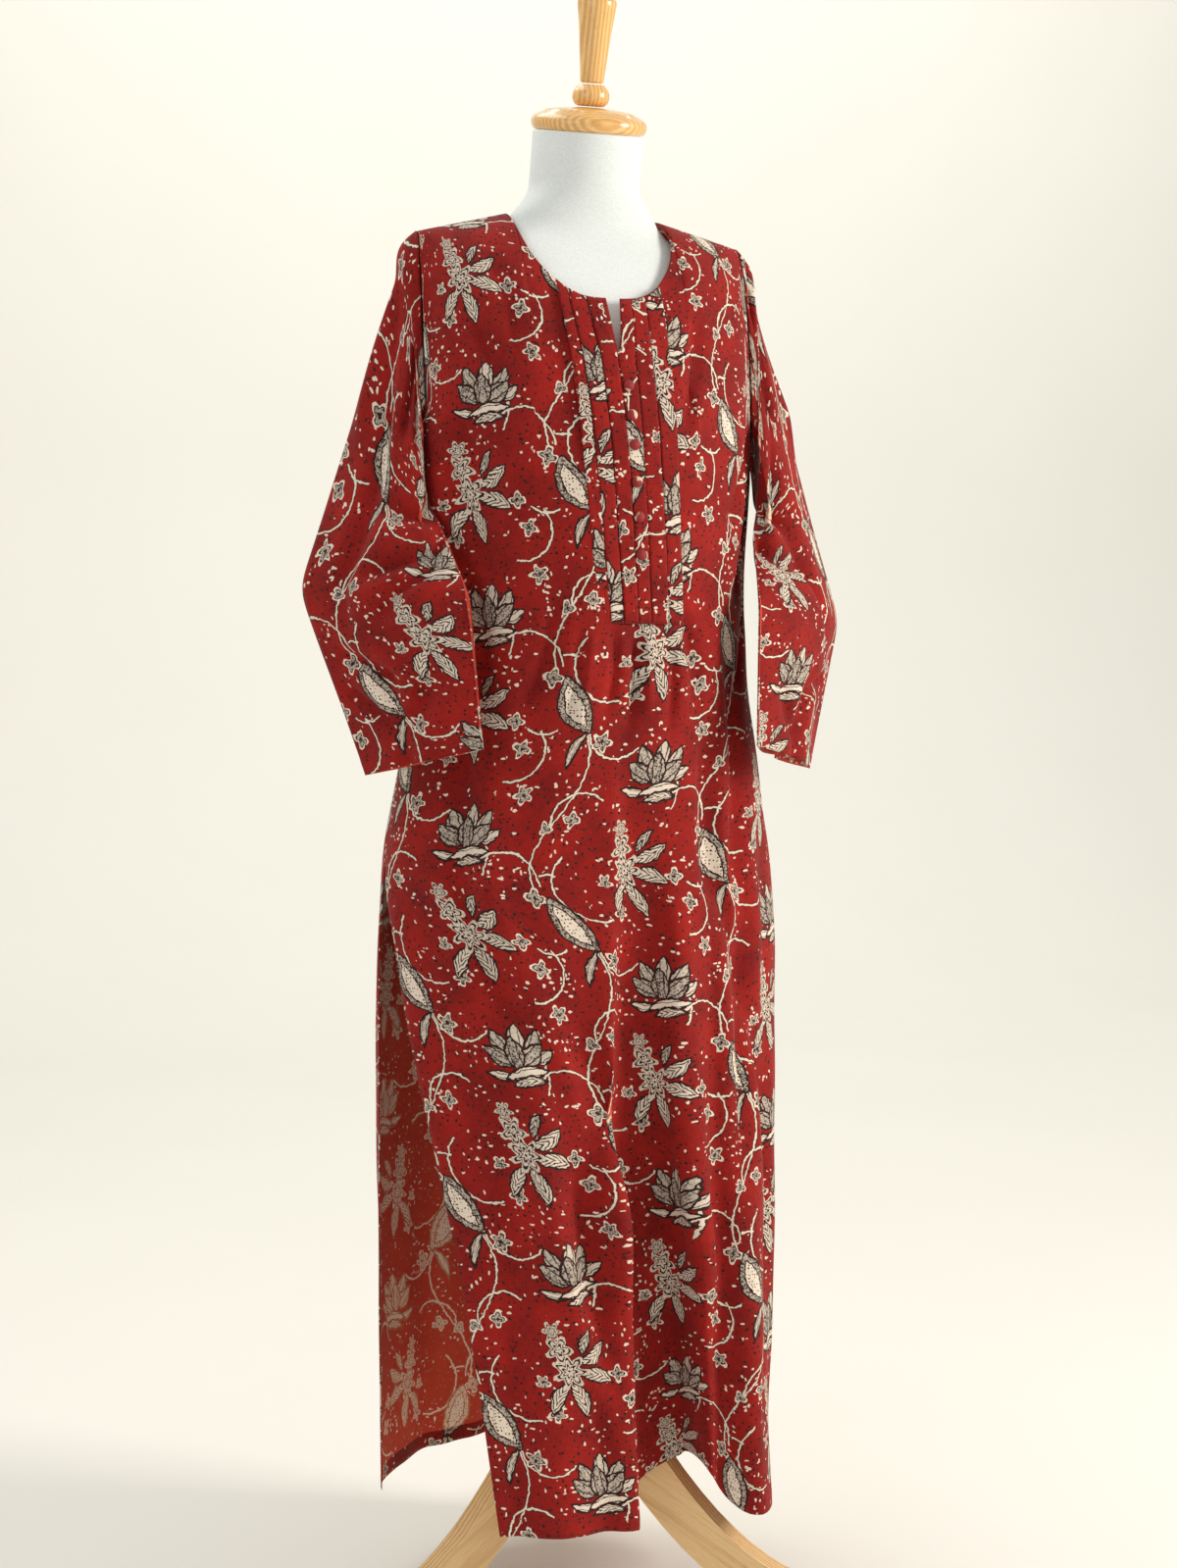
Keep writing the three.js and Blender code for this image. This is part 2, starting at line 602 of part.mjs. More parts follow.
function makeSleeve({ side, elbowOuter, elbowInner, cuffOuter, cuffInner }) {
  const parts = Array.from({ length: SLEEVE_SIDE_POINTS + 1 }, (_, k) => k / SLEEVE_SIDE_POINTS);
  const frontEdge = pointsAlong(armholeEdge(bodyAt(CHEST_Z, 'front'), FRONT_FULLNESS, -1), parts);
  const backEdge = pointsAlong(armholeEdge(bodyAt(CHEST_Z, 'back'), BACK_FULLNESS, 1), parts);
  const armhole = [...frontEdge, ...backEdge.slice(1, -1).reverse()]
    .map((point) => point.setX(point.x + SEAM_STEP_OUT));
  const vector = ({ x, y, z }) => new THREE.Vector3(x, y, z);
  const elbow = pressedRing(vector(elbowOuter), vector(elbowInner), ELBOW_THICKNESS);
  const cuff = pressedRing(vector(cuffOuter), vector(cuffInner), CUFF_THICKNESS);
  const rings = SLEEVE_ROWS_UPPER.map((part) => armhole.map((point, k) => {
    const moved = point.clone().lerp(elbow[k], part);
    return part > 0 ? clearOfBody(moved) : moved;
  }));
  for (const part of SLEEVE_ROWS_LOWER) {
    rings.push(elbow.map((point, k) => clearOfBody(point.clone().lerp(cuff[k], part))));
  }
  const points = rings.flat().map((point) => point.setX(point.x * side));
  const sides = armhole.length;
  const grid = rings.map((ring, i) => {
    const numbers = ring.map((_, j) => i * sides + j);
    return [...numbers, numbers[0]];
  });
  const triangles = gridTriangles(grid, points);
  return wallBody(points, side > 0 ? triangles : triangles.map(([a, b, c]) => [a, c, b]), WALL);
}

for (const sleeve of SLEEVES) addPiece(sleeve.name, makeSleeve(sleeve), COLOURS.cotton);

// ---------------------------------------------------------------- the form and its stand

function formRing({ z, half, front, back, middle }) {
  const ring = [];
  for (let j = 0; j < FORM_SIDES; j += 1) {
    const angle = 2 * Math.PI * (j / FORM_SIDES);
    const depth = Math.sin(angle) < 0 ? front : back;
    ring.push(new THREE.Vector3(half * Math.cos(angle), middle + depth * Math.sin(angle), z));
  }
  return ring;
}

// A round ring of the neck, leaning forward more and more towards its top.
function neckRing(part) {
  const tilt = radians(NECK.tilt * part);
  const z = THREE.MathUtils.lerp(NECK.baseZ, NECK.topZ, part);
  const y = THREE.MathUtils.lerp(NECK.baseY, NECK.topY, part);
  const ring = [];
  for (let j = 0; j < FORM_SIDES; j += 1) {
    const angle = 2 * Math.PI * (j / FORM_SIDES);
    const across = NECK.radius * Math.sin(angle);
    ring.push(new THREE.Vector3(
      NECK.radius * Math.cos(angle), y + across * Math.cos(tilt), z + across * Math.sin(tilt)));
  }
  return ring;
}

const formRings = [...FORM.map(formRing), neckRing(0), neckRing(0.5), neckRing(1)];
addPiece('form_torso', ringSolid(formRings), COLOURS.cover);

const topPieces = [
  ['neck_cap', CAP_PROFILE], ['finial_collar', COLLAR_PROFILE], ['finial_handle', HANDLE_PROFILE],
];
for (const [name, profile] of topPieces) {
  const outline = profile.map(([radius, height]) => new THREE.Vector2(radius, height));
  const piece = addPiece(name, new THREE.LatheGeometry(outline, TOP_SIDES), COLOURS.wood, LACQUER_ROUGHNESS);
  const lean = radians(NECK.tilt);
  piece.position.set(0, NECK.topY - CAP_LIFT * Math.sin(lean), NECK.topZ + CAP_LIFT * Math.cos(lean));
  piece.rotation.x = Math.PI / 2 + lean;
}

function roundBar({ radius, bottomZ, topZ }, sides) {
  const bar = new THREE.CylinderGeometry(radius, radius, topZ - bottomZ, sides);
  return bar.rotateX(Math.PI / 2).translate(0, 0, (topZ + bottomZ) / 2);
}

const stand = { x: 0, y: SEAM_Y };
addPiece('stand_pole', roundBar(POLE, 20), COLOURS.pole, STAND_ROUGHNESS).position.set(stand.x, stand.y, 0);
addPiece('stand_hub', roundBar(HUB, 24), COLOURS.wood, STAND_ROUGHNESS).position.set(stand.x, stand.y, 0);

// A leg is cut from a board: a curved centre line with an edge on each side, flat under the foot.
function legShape() {
  const upper = [];
  const lower = [];
  for (let k = 0; k <= LEG.steps; k += 1) {
    const part = k / LEG.steps;
    const r = THREE.MathUtils.lerp(LEG.start, LEG.end, part);
    const z = LEG.vertexZ + LEG.bend * (LEG.vertexR - r) ** 2;
    const slope = Math.atan(2 * LEG.bend * (LEG.vertexR - r));
    const halfDepth = THREE.MathUtils.lerp(LEG.depthTop, LEG.depthFoot, part) / 2;
    const aside = k === 0 ? 0 : halfDepth * Math.sin(slope);  // the end at the hub is upright
    const rise = k === 0 ? halfDepth / Math.cos(slope) : halfDepth * Math.cos(slope);
    upper.push(new THREE.Vector2(r + aside, z + rise));
    lower.push(new THREE.Vector2(r - aside, Math.max(0, z - rise)));
  }
  const clearOfHub = lower.filter((point, k) => k === 0 || point.x > LEG.start + 4);
  return new THREE.Shape([...clearOfHub, ...upper.reverse()]);
}

LEG.azimuths.forEach((azimuth, i) => {
  const board = new THREE.ExtrudeGeometry(legShape(), { depth: LEG.thickness, bevelEnabled: false });
  board.translate(0, 0, -LEG.thickness / 2).rotateX(Math.PI / 2);
  const leg = addPiece(`stand_leg_${i + 1}`, board, COLOURS.wood, STAND_ROUGHNESS);
  leg.position.set(stand.x, stand.y, 0);
  leg.rotation.z = radians(azimuth - 90);
});

// ---------------------------------------------------------------- origin

// The origin is below the middle of the whole object's box, on the floor.
kurtaOnForm.updateMatrixWorld(true);
const wholeBox = new THREE.Box3().setFromObject(kurtaOnForm, true);
kurtaOnForm.position.x -= (wholeBox.min.x + wholeBox.max.x) / 2;
kurtaOnForm.position.y -= (wholeBox.min.y + wholeBox.max.y) / 2;

export default kurtaOnForm;
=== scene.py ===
"""A block-printed cotton kurta tunic, worn on a limbless dress form on a wooden tripod stand.

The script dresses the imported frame: it replaces the faceted cloth by thin draped shells, and finishes
the form and its stand. Sizes in the tables are millimetres, with the stand's middle at x 0, y 8.
"""
import math

import bmesh
import bpy
import numpy as np
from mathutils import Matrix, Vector


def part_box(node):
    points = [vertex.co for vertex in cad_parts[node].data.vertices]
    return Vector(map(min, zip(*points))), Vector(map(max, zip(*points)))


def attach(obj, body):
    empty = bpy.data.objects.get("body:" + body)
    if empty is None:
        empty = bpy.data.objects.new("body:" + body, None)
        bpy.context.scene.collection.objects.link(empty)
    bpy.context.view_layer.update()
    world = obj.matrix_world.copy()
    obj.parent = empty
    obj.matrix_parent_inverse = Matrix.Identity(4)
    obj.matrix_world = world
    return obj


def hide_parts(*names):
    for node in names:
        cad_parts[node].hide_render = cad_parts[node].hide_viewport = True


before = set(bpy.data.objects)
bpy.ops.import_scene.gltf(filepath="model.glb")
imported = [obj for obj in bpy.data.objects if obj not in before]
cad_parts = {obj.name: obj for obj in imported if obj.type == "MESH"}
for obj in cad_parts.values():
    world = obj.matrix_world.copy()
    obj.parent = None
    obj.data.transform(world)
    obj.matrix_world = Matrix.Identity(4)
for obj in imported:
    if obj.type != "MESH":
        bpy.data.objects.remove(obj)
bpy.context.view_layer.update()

hub_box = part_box("stand_hub")
STAND = (hub_box[0] + hub_box[1]) / 2
SEAM_Y = 8.0
SEAM_GAP = 0.6
CLOTH = 1.0
HEM_Z = 108.0
CHEST_Z = 1130.0
NECK_X, NECK_Z = 79.0, 1393.0
SHOULDER_X, SHOULDER_Z = 166.0, 1372.0
NECK_FRONT_Z = 1299.0
NECK_CURVE = 2.2
FRONT_FULLNESS = 2.0
SPLIT_DEPTH, SPLIT_WIDTH, SPLIT_REACH = 54.0, 14.0, 60.0
BODY = {
    "z": (108, 300, 520, 670, 770, 860, 920, 1000, 1080, 1130),
    "half": (203, 206, 208, 208, 200, 184, 174, 171, 174, 178),
    "front": (148, 146, 143, 140, 138, 136, 134, 134, 136, 136),
    "back": (182, 165, 145, 130, 120, 106, 98, 92, 92, 94),
}
# Degrees round from the middle of each panel to its edge at the open slit.
SLIT = {
    "z": (108, 254, 358, 487, 619, 685, 734),
    "front": (36, 42, 47, 57, 70, 76, 90),
    "back": (77, 80, 84, 89, 90, 90, 90),
}
# The deep fold: x of its edge, floor and rim, how far in it goes, how far it tucks under and leans,
# the flute beside it, and the lift of the hem over a leg of the stand.
FOLD = {
    "z": (108, 254, 358, 487, 619, 735, 891),
    "edge": (18, 12, 5, -5, -8, -8, -7),
    "floor": (70, 62, 52, 40, 28, 18, 8),
    "rim": (102, 97, 92, 86, 78, 66, 44),
    "depth": (66, 60, 52, 40, 25, 12, 0),
    "under": (40, 32, 26, 16, 8, 2, 0),
    "lean": (14, 8, 5, 2, 0, 0, 0),
    "flute": (36, 24, 15, 7, 3, 0, 0),
    "lift": (50, 12, 0, 0, 0, 0, 0),
}
FLUTE_END_X = 192.0
LIFT_X = (30.0, 132.0)
# Half width of a body panel on the way round from chest to shoulder, by turn in degrees.
ARMHOLE = {"turn": (0, 10.5, 13, 17, 32, 60, 90), "half": (178, 178, 172.5, 168, 169, 168.5, 166)}
NECK_COLUMNS, SIDE_COLUMNS = 36, 28
SKIRT_ROWS, TOP_ROWS = 186, 50
FRONT_BLUR = 26
FRONT_CREASING, FRONT_WAVE = 4.1, 3.6

# Soft creases on the flat panel: start u, v, end u, v, half width, and depth (ridges are negative).
FRONT_CREASES = [
    (-118, 690, -96, 300, 16, 3.4), (-84, 820, -70, 430, 22, -2.6), (-60, 640, -38, 120, 17, 3.0),
    (-150, 930, -120, 600, 15, 2.6), (-30, 560, -14, 180, 14, -2.2), (118, 900, 150, 420, 15, 3.6),
    (150, 980, 176, 560, 13, 3.0), (100, 760, 112, 300, 15, -2.8), (170, 700, 200, 200, 15, 3.2),
    (-150, 1180, -98, 1085, 11, 2.1), (-168, 1150, -110, 1020, 10, 1.9), (-160, 1090, -118, 905, 10, 2.2),
    (228, 1185, 160, 1085, 11, 3.0), (240, 1145, 168, 1010, 10, 2.6), (225, 1080, 178, 900, 11, 2.6),
    (-24, 978, -30, 896, 6, 1.6), (-11, 980, -15, 880, 6, -1.3), (8, 982, 5, 900, 5, 1.4),
    (30, 982, 30, 885, 6, 1.8), (48, 980, 51, 900, 6, -1.3), (66, 978, 74, 885, 6, 1.7),
    (-120, 1270, -84, 1180, 9, 1.6), (118, 1290, 84, 1170, 9, 1.8), (-95, 1350, -78, 1230, 7, 1.2),
    (82, 1000, 106, 905, 9, 1.9), (-48, 1010, -76, 900, 9, 1.7), (-110, 520, -84, 180, 12, -2.0),
]
# Hanging flutes of the skirt: x at the hem and at the top, height of the top, half width, depth.
SKIRT_FLUTES = [
    (31, 3, 880, 12, 11), (-18, -40, 760, 15, 9), (-62, -84, 820, 17, -5), (-98, -122, 700, 12, 7),
    (112, 92, 930, 13, 10), (146, 132, 860, 16, -6), (184, 168, 1000, 11, 11),
]


def read(table, at, column, by="z"):
    return np.interp(at, table[by], table[column])


def bump(x, start, end):
    inside = (x > start) & (x < end)
    return np.where(inside, 0.5 - 0.5 * np.cos(2 * np.pi * (x - start) / (end - start)), 0.0)


def resample(line, parts):
    """Points at the given parts of the way along a line of points."""
    reach = np.concatenate([[0], np.cumsum(np.linalg.norm(np.diff(line, axis=0), axis=1))])
    return np.stack([np.interp(parts * reach[-1], reach, line[:, k]) for k in range(3)], 1)


def shoulder_height(x):
    drop = (NECK_Z - SHOULDER_Z) / (SHOULDER_X - NECK_X)
    return NECK_Z - drop * (np.maximum(np.abs(x), NECK_X) - NECK_X)


def neck_height(x, lowest):
    across = np.minimum(np.abs(x) / NECK_X, 1)
    return NECK_Z - (NECK_Z - lowest) * (1 - across**NECK_CURVE) ** (1 / NECK_CURVE)


def panel_sines():
    """The columns of a body panel, as sines of their angles round the chest."""
    neck = NECK_X / read(ARMHOLE, 90, "half", "turn")
    step = np.arange(1, NECK_COLUMNS + 1) / NECK_COLUMNS
    inner = neck * (0.3 * step + 0.7 * np.sin(step * np.pi / 2))
    start = math.asin(neck)
    outer = np.sin(start + (np.pi / 2 - start) * np.arange(1, SIDE_COLUMNS + 1) / SIDE_COLUMNS)
    half = np.concatenate([inner, outer])
    return np.concatenate([-half[::-1], [0], half])


def column_parts(sines, depth):
    angles = np.arcsin(sines)
    fine = np.linspace(-np.pi / 2, np.pi / 2, 2001)
    pace = np.hypot(read(BODY, CHEST_Z, "half") * np.cos(fine), depth * np.sin(fine))
    reach = np.concatenate([[0], np.cumsum((pace[1:] + pace[:-1]) / 2)])
    return np.interp(angles, fine, reach / reach[-1])


def top_rows(sines, depth, lowest, fullness, side, rows):
    """The panel from the chest up and over to the shoulder seam, or to the neckline."""
    chest_half = read(BODY, CHEST_Z, "half")
    end_x = read(ARMHOLE, 90, "half", "turn") * sines
    rise = (neck_height(end_x, lowest) - CHEST_Z) / (shoulder_height(end_x) - CHEST_Z)
    last = np.where(np.abs(end_x) < NECK_X - 1e-6, np.arcsin(np.clip(rise, 0, 1)), np.pi / 2)
    grid = []
    for part in np.linspace(0, 1, rows + 1)[1:]:
        turn = last * part
        x = sines * read(ARMHOLE, np.degrees(turn), "half", "turn")
        depth_here = depth * np.sqrt(np.maximum(0, 1 - (x / chest_half) ** 2))
        z = CHEST_Z + (shoulder_height(x) - CHEST_Z) * np.sin(turn)
        out = depth_here * np.maximum(0, 1 - np.sin(turn) ** fullness) ** (1 / fullness)
        grid.append(np.stack([x, SEAM_Y + side * (out + SEAM_GAP / 2), z], 1))
    return grid


def front_line(z):
    """One level line of the front, from the wearer's right edge to the left."""
    first = -read(SLIT, z, "front")
    angle = np.radians(np.linspace(first, 90, 481))
    x = read(BODY, z, "half") * np.sin(angle)
    fold = {key: read(FOLD, z, key) for key in FOLD if key != "z"}
    wall = np.clip((x - fold["edge"]) / (fold["floor"] - fold["edge"]), 0, 1)
    out_of = 0.5 + 0.5 * np.cos(np.pi * np.clip((x - fold["floor"]) / (fold["rim"] - fold["floor"]), 0, 1))
    inward = np.where(x < fold["floor"], np.sin(np.pi / 2 * wall), out_of)
    y = SEAM_Y - SEAM_GAP / 2 - read(BODY, z, "front") * np.cos(angle)
    y = y + fold["depth"] * inward - fold["flute"] * bump(x, fold["rim"], FLUTE_END_X)
    for foot_x, top_x, top, width, depth in SKIRT_FLUTES:
        grown = np.clip((top - z) / (top - HEM_Z), 0, 1)
        centre = top_x + (foot_x - top_x) * grown
        facing = np.clip(2.5 * np.cos(angle), 0, 1)
        y = y + facing * depth * np.minimum(1, 2.2 * grown) * np.exp(-(((x - centre) / width) ** 2))
    aside = fold["lean"] * inward - fold["under"] * np.sin(np.pi * wall)
    return np.stack([x + aside, y, z + fold["lift"] * bump(x, *LIFT_X)], 1)


def blur_rows(grid, times, last):
    """Rounds off the kinks between the rows of the tables, up to a last row."""
    weight = np.clip((last - np.arange(len(grid))) / 20, 0, 1)[1:-1, None, None]
    for _ in range(times):
        soft = 0.25 * grid[:-2] + 0.5 * grid[1:-1] + 0.25 * grid[2:]
        grid[1:-1] += (soft - grid[1:-1]) * weight
    return grid


def grid_normals(grid):
    across = np.gradient(grid, axis=1)
    up = np.gradient(grid, axis=0)
    normal = np.cross(across, up)
    return normal / np.maximum(np.linalg.norm(normal, axis=2, keepdims=True), 1e-9)


def crease_depth(u, v, creases):
    """How far in the cloth goes at each flat place, for a list of soft troughs and ridges."""
    total = np.zeros_like(u)
    for u0, v0, u1, v1, width, depth in creases:
        du, dv = u1 - u0, v1 - v0
        length = math.hypot(du, dv)
        along = ((u - u0) * du + (v - v0) * dv) / length**2
        bow = 0.06 * length * np.sin(np.pi * np.clip(along, 0, 1)) * (1 if depth > 0 else -1)
        off = ((u - u0) * dv - (v - v0) * du) / length + bow
        fade = np.clip(np.minimum(along + 0.1, 1.1 - along) / 0.35, 0, 1)
        total += depth * np.exp(-((off / width) ** 2)) * fade * fade * (3 - 2 * fade)
    return total


def hand_wave(u, v, size):
    """Slow unevenness of hung cloth, from a few crossed waves of different lengths."""
    return size * (
        0.45 * np.sin(u / 23 + 0.6 * np.sin(v / 97)) * np.sin(v / 141 + 0.7)
        + 0.3 * np.sin(u / 13.7 - v / 118 + 1.3)
        + 0.25 * np.sin(u / 41 + v / 63 + 2.1) * np.sin(v / 37)
    )


def hem_step(v, hem_v, depth=16.0):
    """The hem is turned up twice, so it stands out a little, with a pinched line at its stitches."""
    above = v - hem_v
    turned = 0.5 - 0.5 * np.tanh((above - depth) / 0.9)
    return 0.45 * turned - 0.55 * np.exp(-(((above - depth + 1.5) / 1.6) ** 2))


def in_frame(points):
    """Moves points from the tables' millimetres to the frame's metres."""
    return (points - [0, SEAM_Y, 0]) / 1000 + [STAND.x, STAND.y, 0]


def smooth_piece(name, mesh, materials):
    """Links a mesh as a smooth-shaded piece with its materials."""
    for material in materials:
        mesh.materials.append(material)
    mesh.polygons.foreach_set("use_smooth", np.ones(len(mesh.polygons), bool))
    mesh.update()
    piece = bpy.data.objects.new(name, mesh)
    bpy.context.scene.collection.objects.link(piece)
    return piece


def cloth_shell(name, points, quads, flat, materials, wall=CLOTH, turned=None):
    """A thin closed shell: the outer face, an inner face one cloth behind it, and its cut edges.
    Turned cells lie in a hem, so inside they show the right side of the cloth too."""
    corners = points[quads]
    face = np.cross(corners[:, 2] - corners[:, 0], corners[:, 3] - corners[:, 1])
    normals = np.zeros_like(points)
    for k in range(4):
        np.add.at(normals, quads[:, k], face)
    normals /= np.maximum(np.linalg.norm(normals, axis=1, keepdims=True), 1e-9)
    count = len(points)
    edges = np.concatenate([quads[:, [k, (k + 1) % 4]] for k in range(4)])
    keys = edges[:, 0] * count + edges[:, 1]
    rim = edges[~np.isin(keys, edges[:, 1] * count + edges[:, 0])]
    rim_quads = np.stack([rim[:, 1], rim[:, 0], rim[:, 0] + count, rim[:, 1] + count], 1)
    faces = np.concatenate([quads, quads[:, ::-1] + count, rim_quads])
    places = np.concatenate([points, points - normals * wall])
    mesh = bpy.data.meshes.new(name)
    mesh.from_pydata(in_frame(places).tolist(), [], faces.tolist())
    uv = mesh.uv_layers.new(name="cloth")
    both = np.concatenate([flat, flat])[faces.ravel()] / 1000
    uv.data.foreach_set("uv", both.astype(np.float32).ravel())
    index = np.zeros(len(faces), np.int32)
    index[len(quads):2 * len(quads)] = len(materials) - 1
    if turned is not None:
        index[len(quads):2 * len(quads)][turned] = 0
    mesh.polygons.foreach_set("material_index", index)
    return smooth_piece(name, mesh, materials)


def grid_quads(numbers):
    return np.stack(
        [numbers[:-1, :-1], numbers[:-1, 1:], numbers[1:, 1:], numbers[1:, :-1]], 2
    ).reshape(-1, 4)


def paint(hex_colour):
    """An sRGB hex colour as the linear RGBA that a shader takes."""
    parts = [int(hex_colour[k:k + 2], 16) / 255 for k in (1, 3, 5)]
    return (*[p / 12.92 if p <= 0.04045 else ((p + 0.055) / 1.055) ** 2.4 for p in parts], 1)


def new_finish(name):
    """A new material, and its empty node tree."""
    material = bpy.data.materials.new(name)
    material.use_nodes = True
    material.node_tree.nodes.clear()
    return material, material.node_tree


def add(tree, kind, inputs=(), **settings):
    """Adds one node with its settings; each input is a value, a node or one of its outputs."""
    node = tree.nodes.new("ShaderNode" + kind)
    for key, value in settings.items():
        setattr(node, key, value)
    for key, value in inputs.items() if isinstance(inputs, dict) else enumerate(inputs):
        if isinstance(value, bpy.types.Node):
            value = value.outputs[0]
        if isinstance(value, bpy.types.NodeSocket):
            tree.links.new(value, node.inputs[key])
        elif value is not None:
            node.inputs[key].default_value = value
    return node


# The block: one repeat is 182 mm wide and 210 mm high, and each column steps up 60 mm.
REPEAT_U, REPEAT_V, COLUMN_STEP = 182.0, 210.0, 60.0
# Petals and leaves: x, y, degrees, half length, half width, bend, grey (0 to 1), striped or plain.
LOTUS = [
    (3, 21, 86, 15, 8, 0, 0.35, 0), (-13, 15, 124, 17, 8, 0.35, 0.75, 0),
    (18, 15, 58, 16, 7.5, -0.35, 0.55, 0), (25, 3, 24, 13, 6, -0.4, 0.2, 0),
    (-15, 3, 152, 18, 8.5, 0.4, 0.95, 0), (12, 3, 34, 19, 9, -0.4, 0.85, 0), (-1, 7, 96, 17, 9, 0.1, 1, 0),
    (-19, -15, 172, 15, 4.5, 0.5, 0, 0), (6, -11, 10, 22, 6, 0.45, 0, 0), (7, -19, 8, 17, 5, 0.5, 0.1, 1),
]
SPRAY = [
    (27, -7, -16, 19, 7.5, 0.45, 0.2, 1), (26, 12, 30, 18, 7, -0.45, 0.15, 1),
    (9, -30, -70, 19, 7.5, 0.4, 0.25, 1), (-15, -27, -124, 18, 7, -0.4, 0.15, 1),
    (16, 27, 62, 13, 5, 0.4, 0.6, 1),
]
POD = [(5, -40, 66, 19, 4.5, 0.8, 0.5, 0), (0, 0, 118, 31, 15, 0.34, 0.1, 2)]
ROSETTES = [(0, -2, 17, 7, 0.4), (-8, 20, 13, 5, 0.9), (-12, 38, 9, 6, 0.2)]
BLOSSOMS = [
    (-62, 34, 10, 5, 0.3), (66, -54, 9.5, 4, 0.9), (-34, 80, 9, 5, 2.2), (44, 88, 8.5, 4, 1.5),
    (-80, -40, 8, 4, 0.6), (52, 44, 9, 5, 2.6), (34, -96, 8, 4, 0.1), (-44, -100, 7, 5, 1.2),
    (78, 12, 6.5, 3, 0.7),
]
# Vines: centre x, y, radius, and the side of the circle that is drawn (direction, least reach).
VINES = [
    (-44, -14, 36, 210, 8), (52, -36, 30, -30, 10), (-56, 46, 28, 120, 8), (56, 44, 34, 70, 12),
    (4, 74, 38, 30, 20), (-30, -74, 30, 250, 10), (78, 4, 24, 300, 8), (-84, -30, 26, 140, 10),
]


def lattice_place(tree, flat, u, v):
    """Flat cloth coordinates, in millimetres from the nearest place of one motif of the block."""
    parts = add(tree, "SeparateXYZ", [flat])
    across = add(tree, "Math", [parts.outputs[0], 1 / REPEAT_U, -u / REPEAT_U], operation="MULTIPLY_ADD")
    column = add(tree, "Math", [across], operation="ROUND")
    up = add(tree, "Math", [parts.outputs[1], 1 / REPEAT_V, -v / REPEAT_V], operation="MULTIPLY_ADD")
    up = add(tree, "Math", [column, -COLUMN_STEP / REPEAT_V, up], operation="MULTIPLY_ADD")
    row = add(tree, "Math", [up], operation="ROUND")
    x = add(tree, "Math", [across, column], operation="SUBTRACT")
    y = add(tree, "Math", [up, row], operation="SUBTRACT")
    cell = add(tree, "CombineXYZ", [x, y])
    return add(tree, "VectorMath", [cell, (REPEAT_U, REPEAT_V, 0)], operation="MULTIPLY")


def print_petals(tree, place, state, petals, line):
    """Prints leaves and petals one over another. The state is (covered, line, grey)."""
    for x, y, angle, length, width, bend, grey, kind in petals:
        local = add(
            tree, "Mapping",
            {0: place, 1: (x, y, 0), 2: (0, 0, math.radians(angle)), 3: (length, width, 1)},
            vector_type="TEXTURE",
        )
        part = add(tree, "SeparateXYZ", [local])
        square = add(tree, "Math", [part.outputs[0], part.outputs[0]], operation="MULTIPLY")
        side = add(tree, "Math", [square, bend, part.outputs[1]], operation="MULTIPLY_ADD")
        side = add(tree, "Math", [side], operation="ABSOLUTE")
        reach = add(tree, "Math", [side, square], operation="ADD")
        inside = add(tree, "Math", [reach, 1 + line / width], operation="LESS_THAN")
        ink = add(tree, "Math", [reach, 1 - line / width], operation="GREATER_THAN")
        if kind == 0:
            vein = add(tree, "Math", [side, 0.45, 0.07], operation="COMPARE")
        elif kind == 1:
            slant = add(tree, "Math", [side, 0.9, part.outputs[0]], operation="MULTIPLY_ADD")
            vein = add(tree, "Math", [slant, length / 7.2], operation="MULTIPLY")
            vein = add(tree, "Math", [vein, 0.5], operation="PINGPONG")
            vein = add(tree, "Math", [vein, 0.17], operation="LESS_THAN")
        else:
            seeds = add(tree, "TexVoronoi", {"Vector": place, "Scale": 0.3, "Randomness": 0.35})
            seeds = add(tree, "Math", [seeds, 0.26], operation="LESS_THAN")
            vein = add(tree, "Math", [reach, 0.55, 0.05], operation="COMPARE")
            vein = add(tree, "Math", [vein, seeds], operation="MAXIMUM")
            grey = add(tree, "Math", [reach, 0.54], operation="GREATER_THAN")
        ink = add(tree, "Math", [ink, vein], operation="MAXIMUM")
        drawn = add(tree, "CombineXYZ", [1, ink, grey])
        state = add(tree, "Mix", {0: inside, 4: state, 5: drawn}, data_type="VECTOR").outputs[1]
    return state


def print_flowers(tree, place, state, flowers, line, rings):
    """Prints round flowers with lobes: small blossoms, or rosettes with rings of petals."""
    for x, y, radius, lobes, turn in flowers:
        local = add(tree, "VectorMath", [place, (x, y, 0)], operation="SUBTRACT")
        away = add(tree, "VectorMath", [local], operation="LENGTH")
        part = add(tree, "SeparateXYZ", [local])
        angle = add(tree, "Math", [part.outputs[1], part.outputs[0]], operation="ARCTAN2")
        wave = add(tree, "Math", [angle, lobes, turn], operation="MULTIPLY_ADD")
        wave = add(tree, "Math", [wave], operation="COSINE")
        edge = add(tree, "Math", [wave, 0.24 * radius, 0.8 * radius], operation="MULTIPLY_ADD")
        reach = add(tree, "Math", [away.outputs[1], edge], operation="DIVIDE")
        inside = add(tree, "Math", [reach, 1 + line / radius], operation="LESS_THAN")
        if rings:
            ring = add(tree, "Math", [reach, 2.6], operation="MULTIPLY")
            ring = add(tree, "Math", [ring, 0.5], operation="PINGPONG")
            ink = add(tree, "Math", [ring, 0.2], operation="LESS_THAN")
        else:
            ink = add(tree, "Math", [reach, 0.24], operation="LESS_THAN")
            rim = add(tree, "Math", [reach, 0.76, 0.07], operation="COMPARE")
            ink = add(tree, "Math", [ink, rim], operation="MAXIMUM")
            petal = add(tree, "Math", [reach, 0.72], operation="LESS_THAN")
        drawn = add(tree, "CombineXYZ", [1, ink, 0.3 if rings else petal])
        state = add(tree, "Mix", {0: inside, 4: state, 5: drawn}, data_type="VECTOR").outputs[1]
    return state


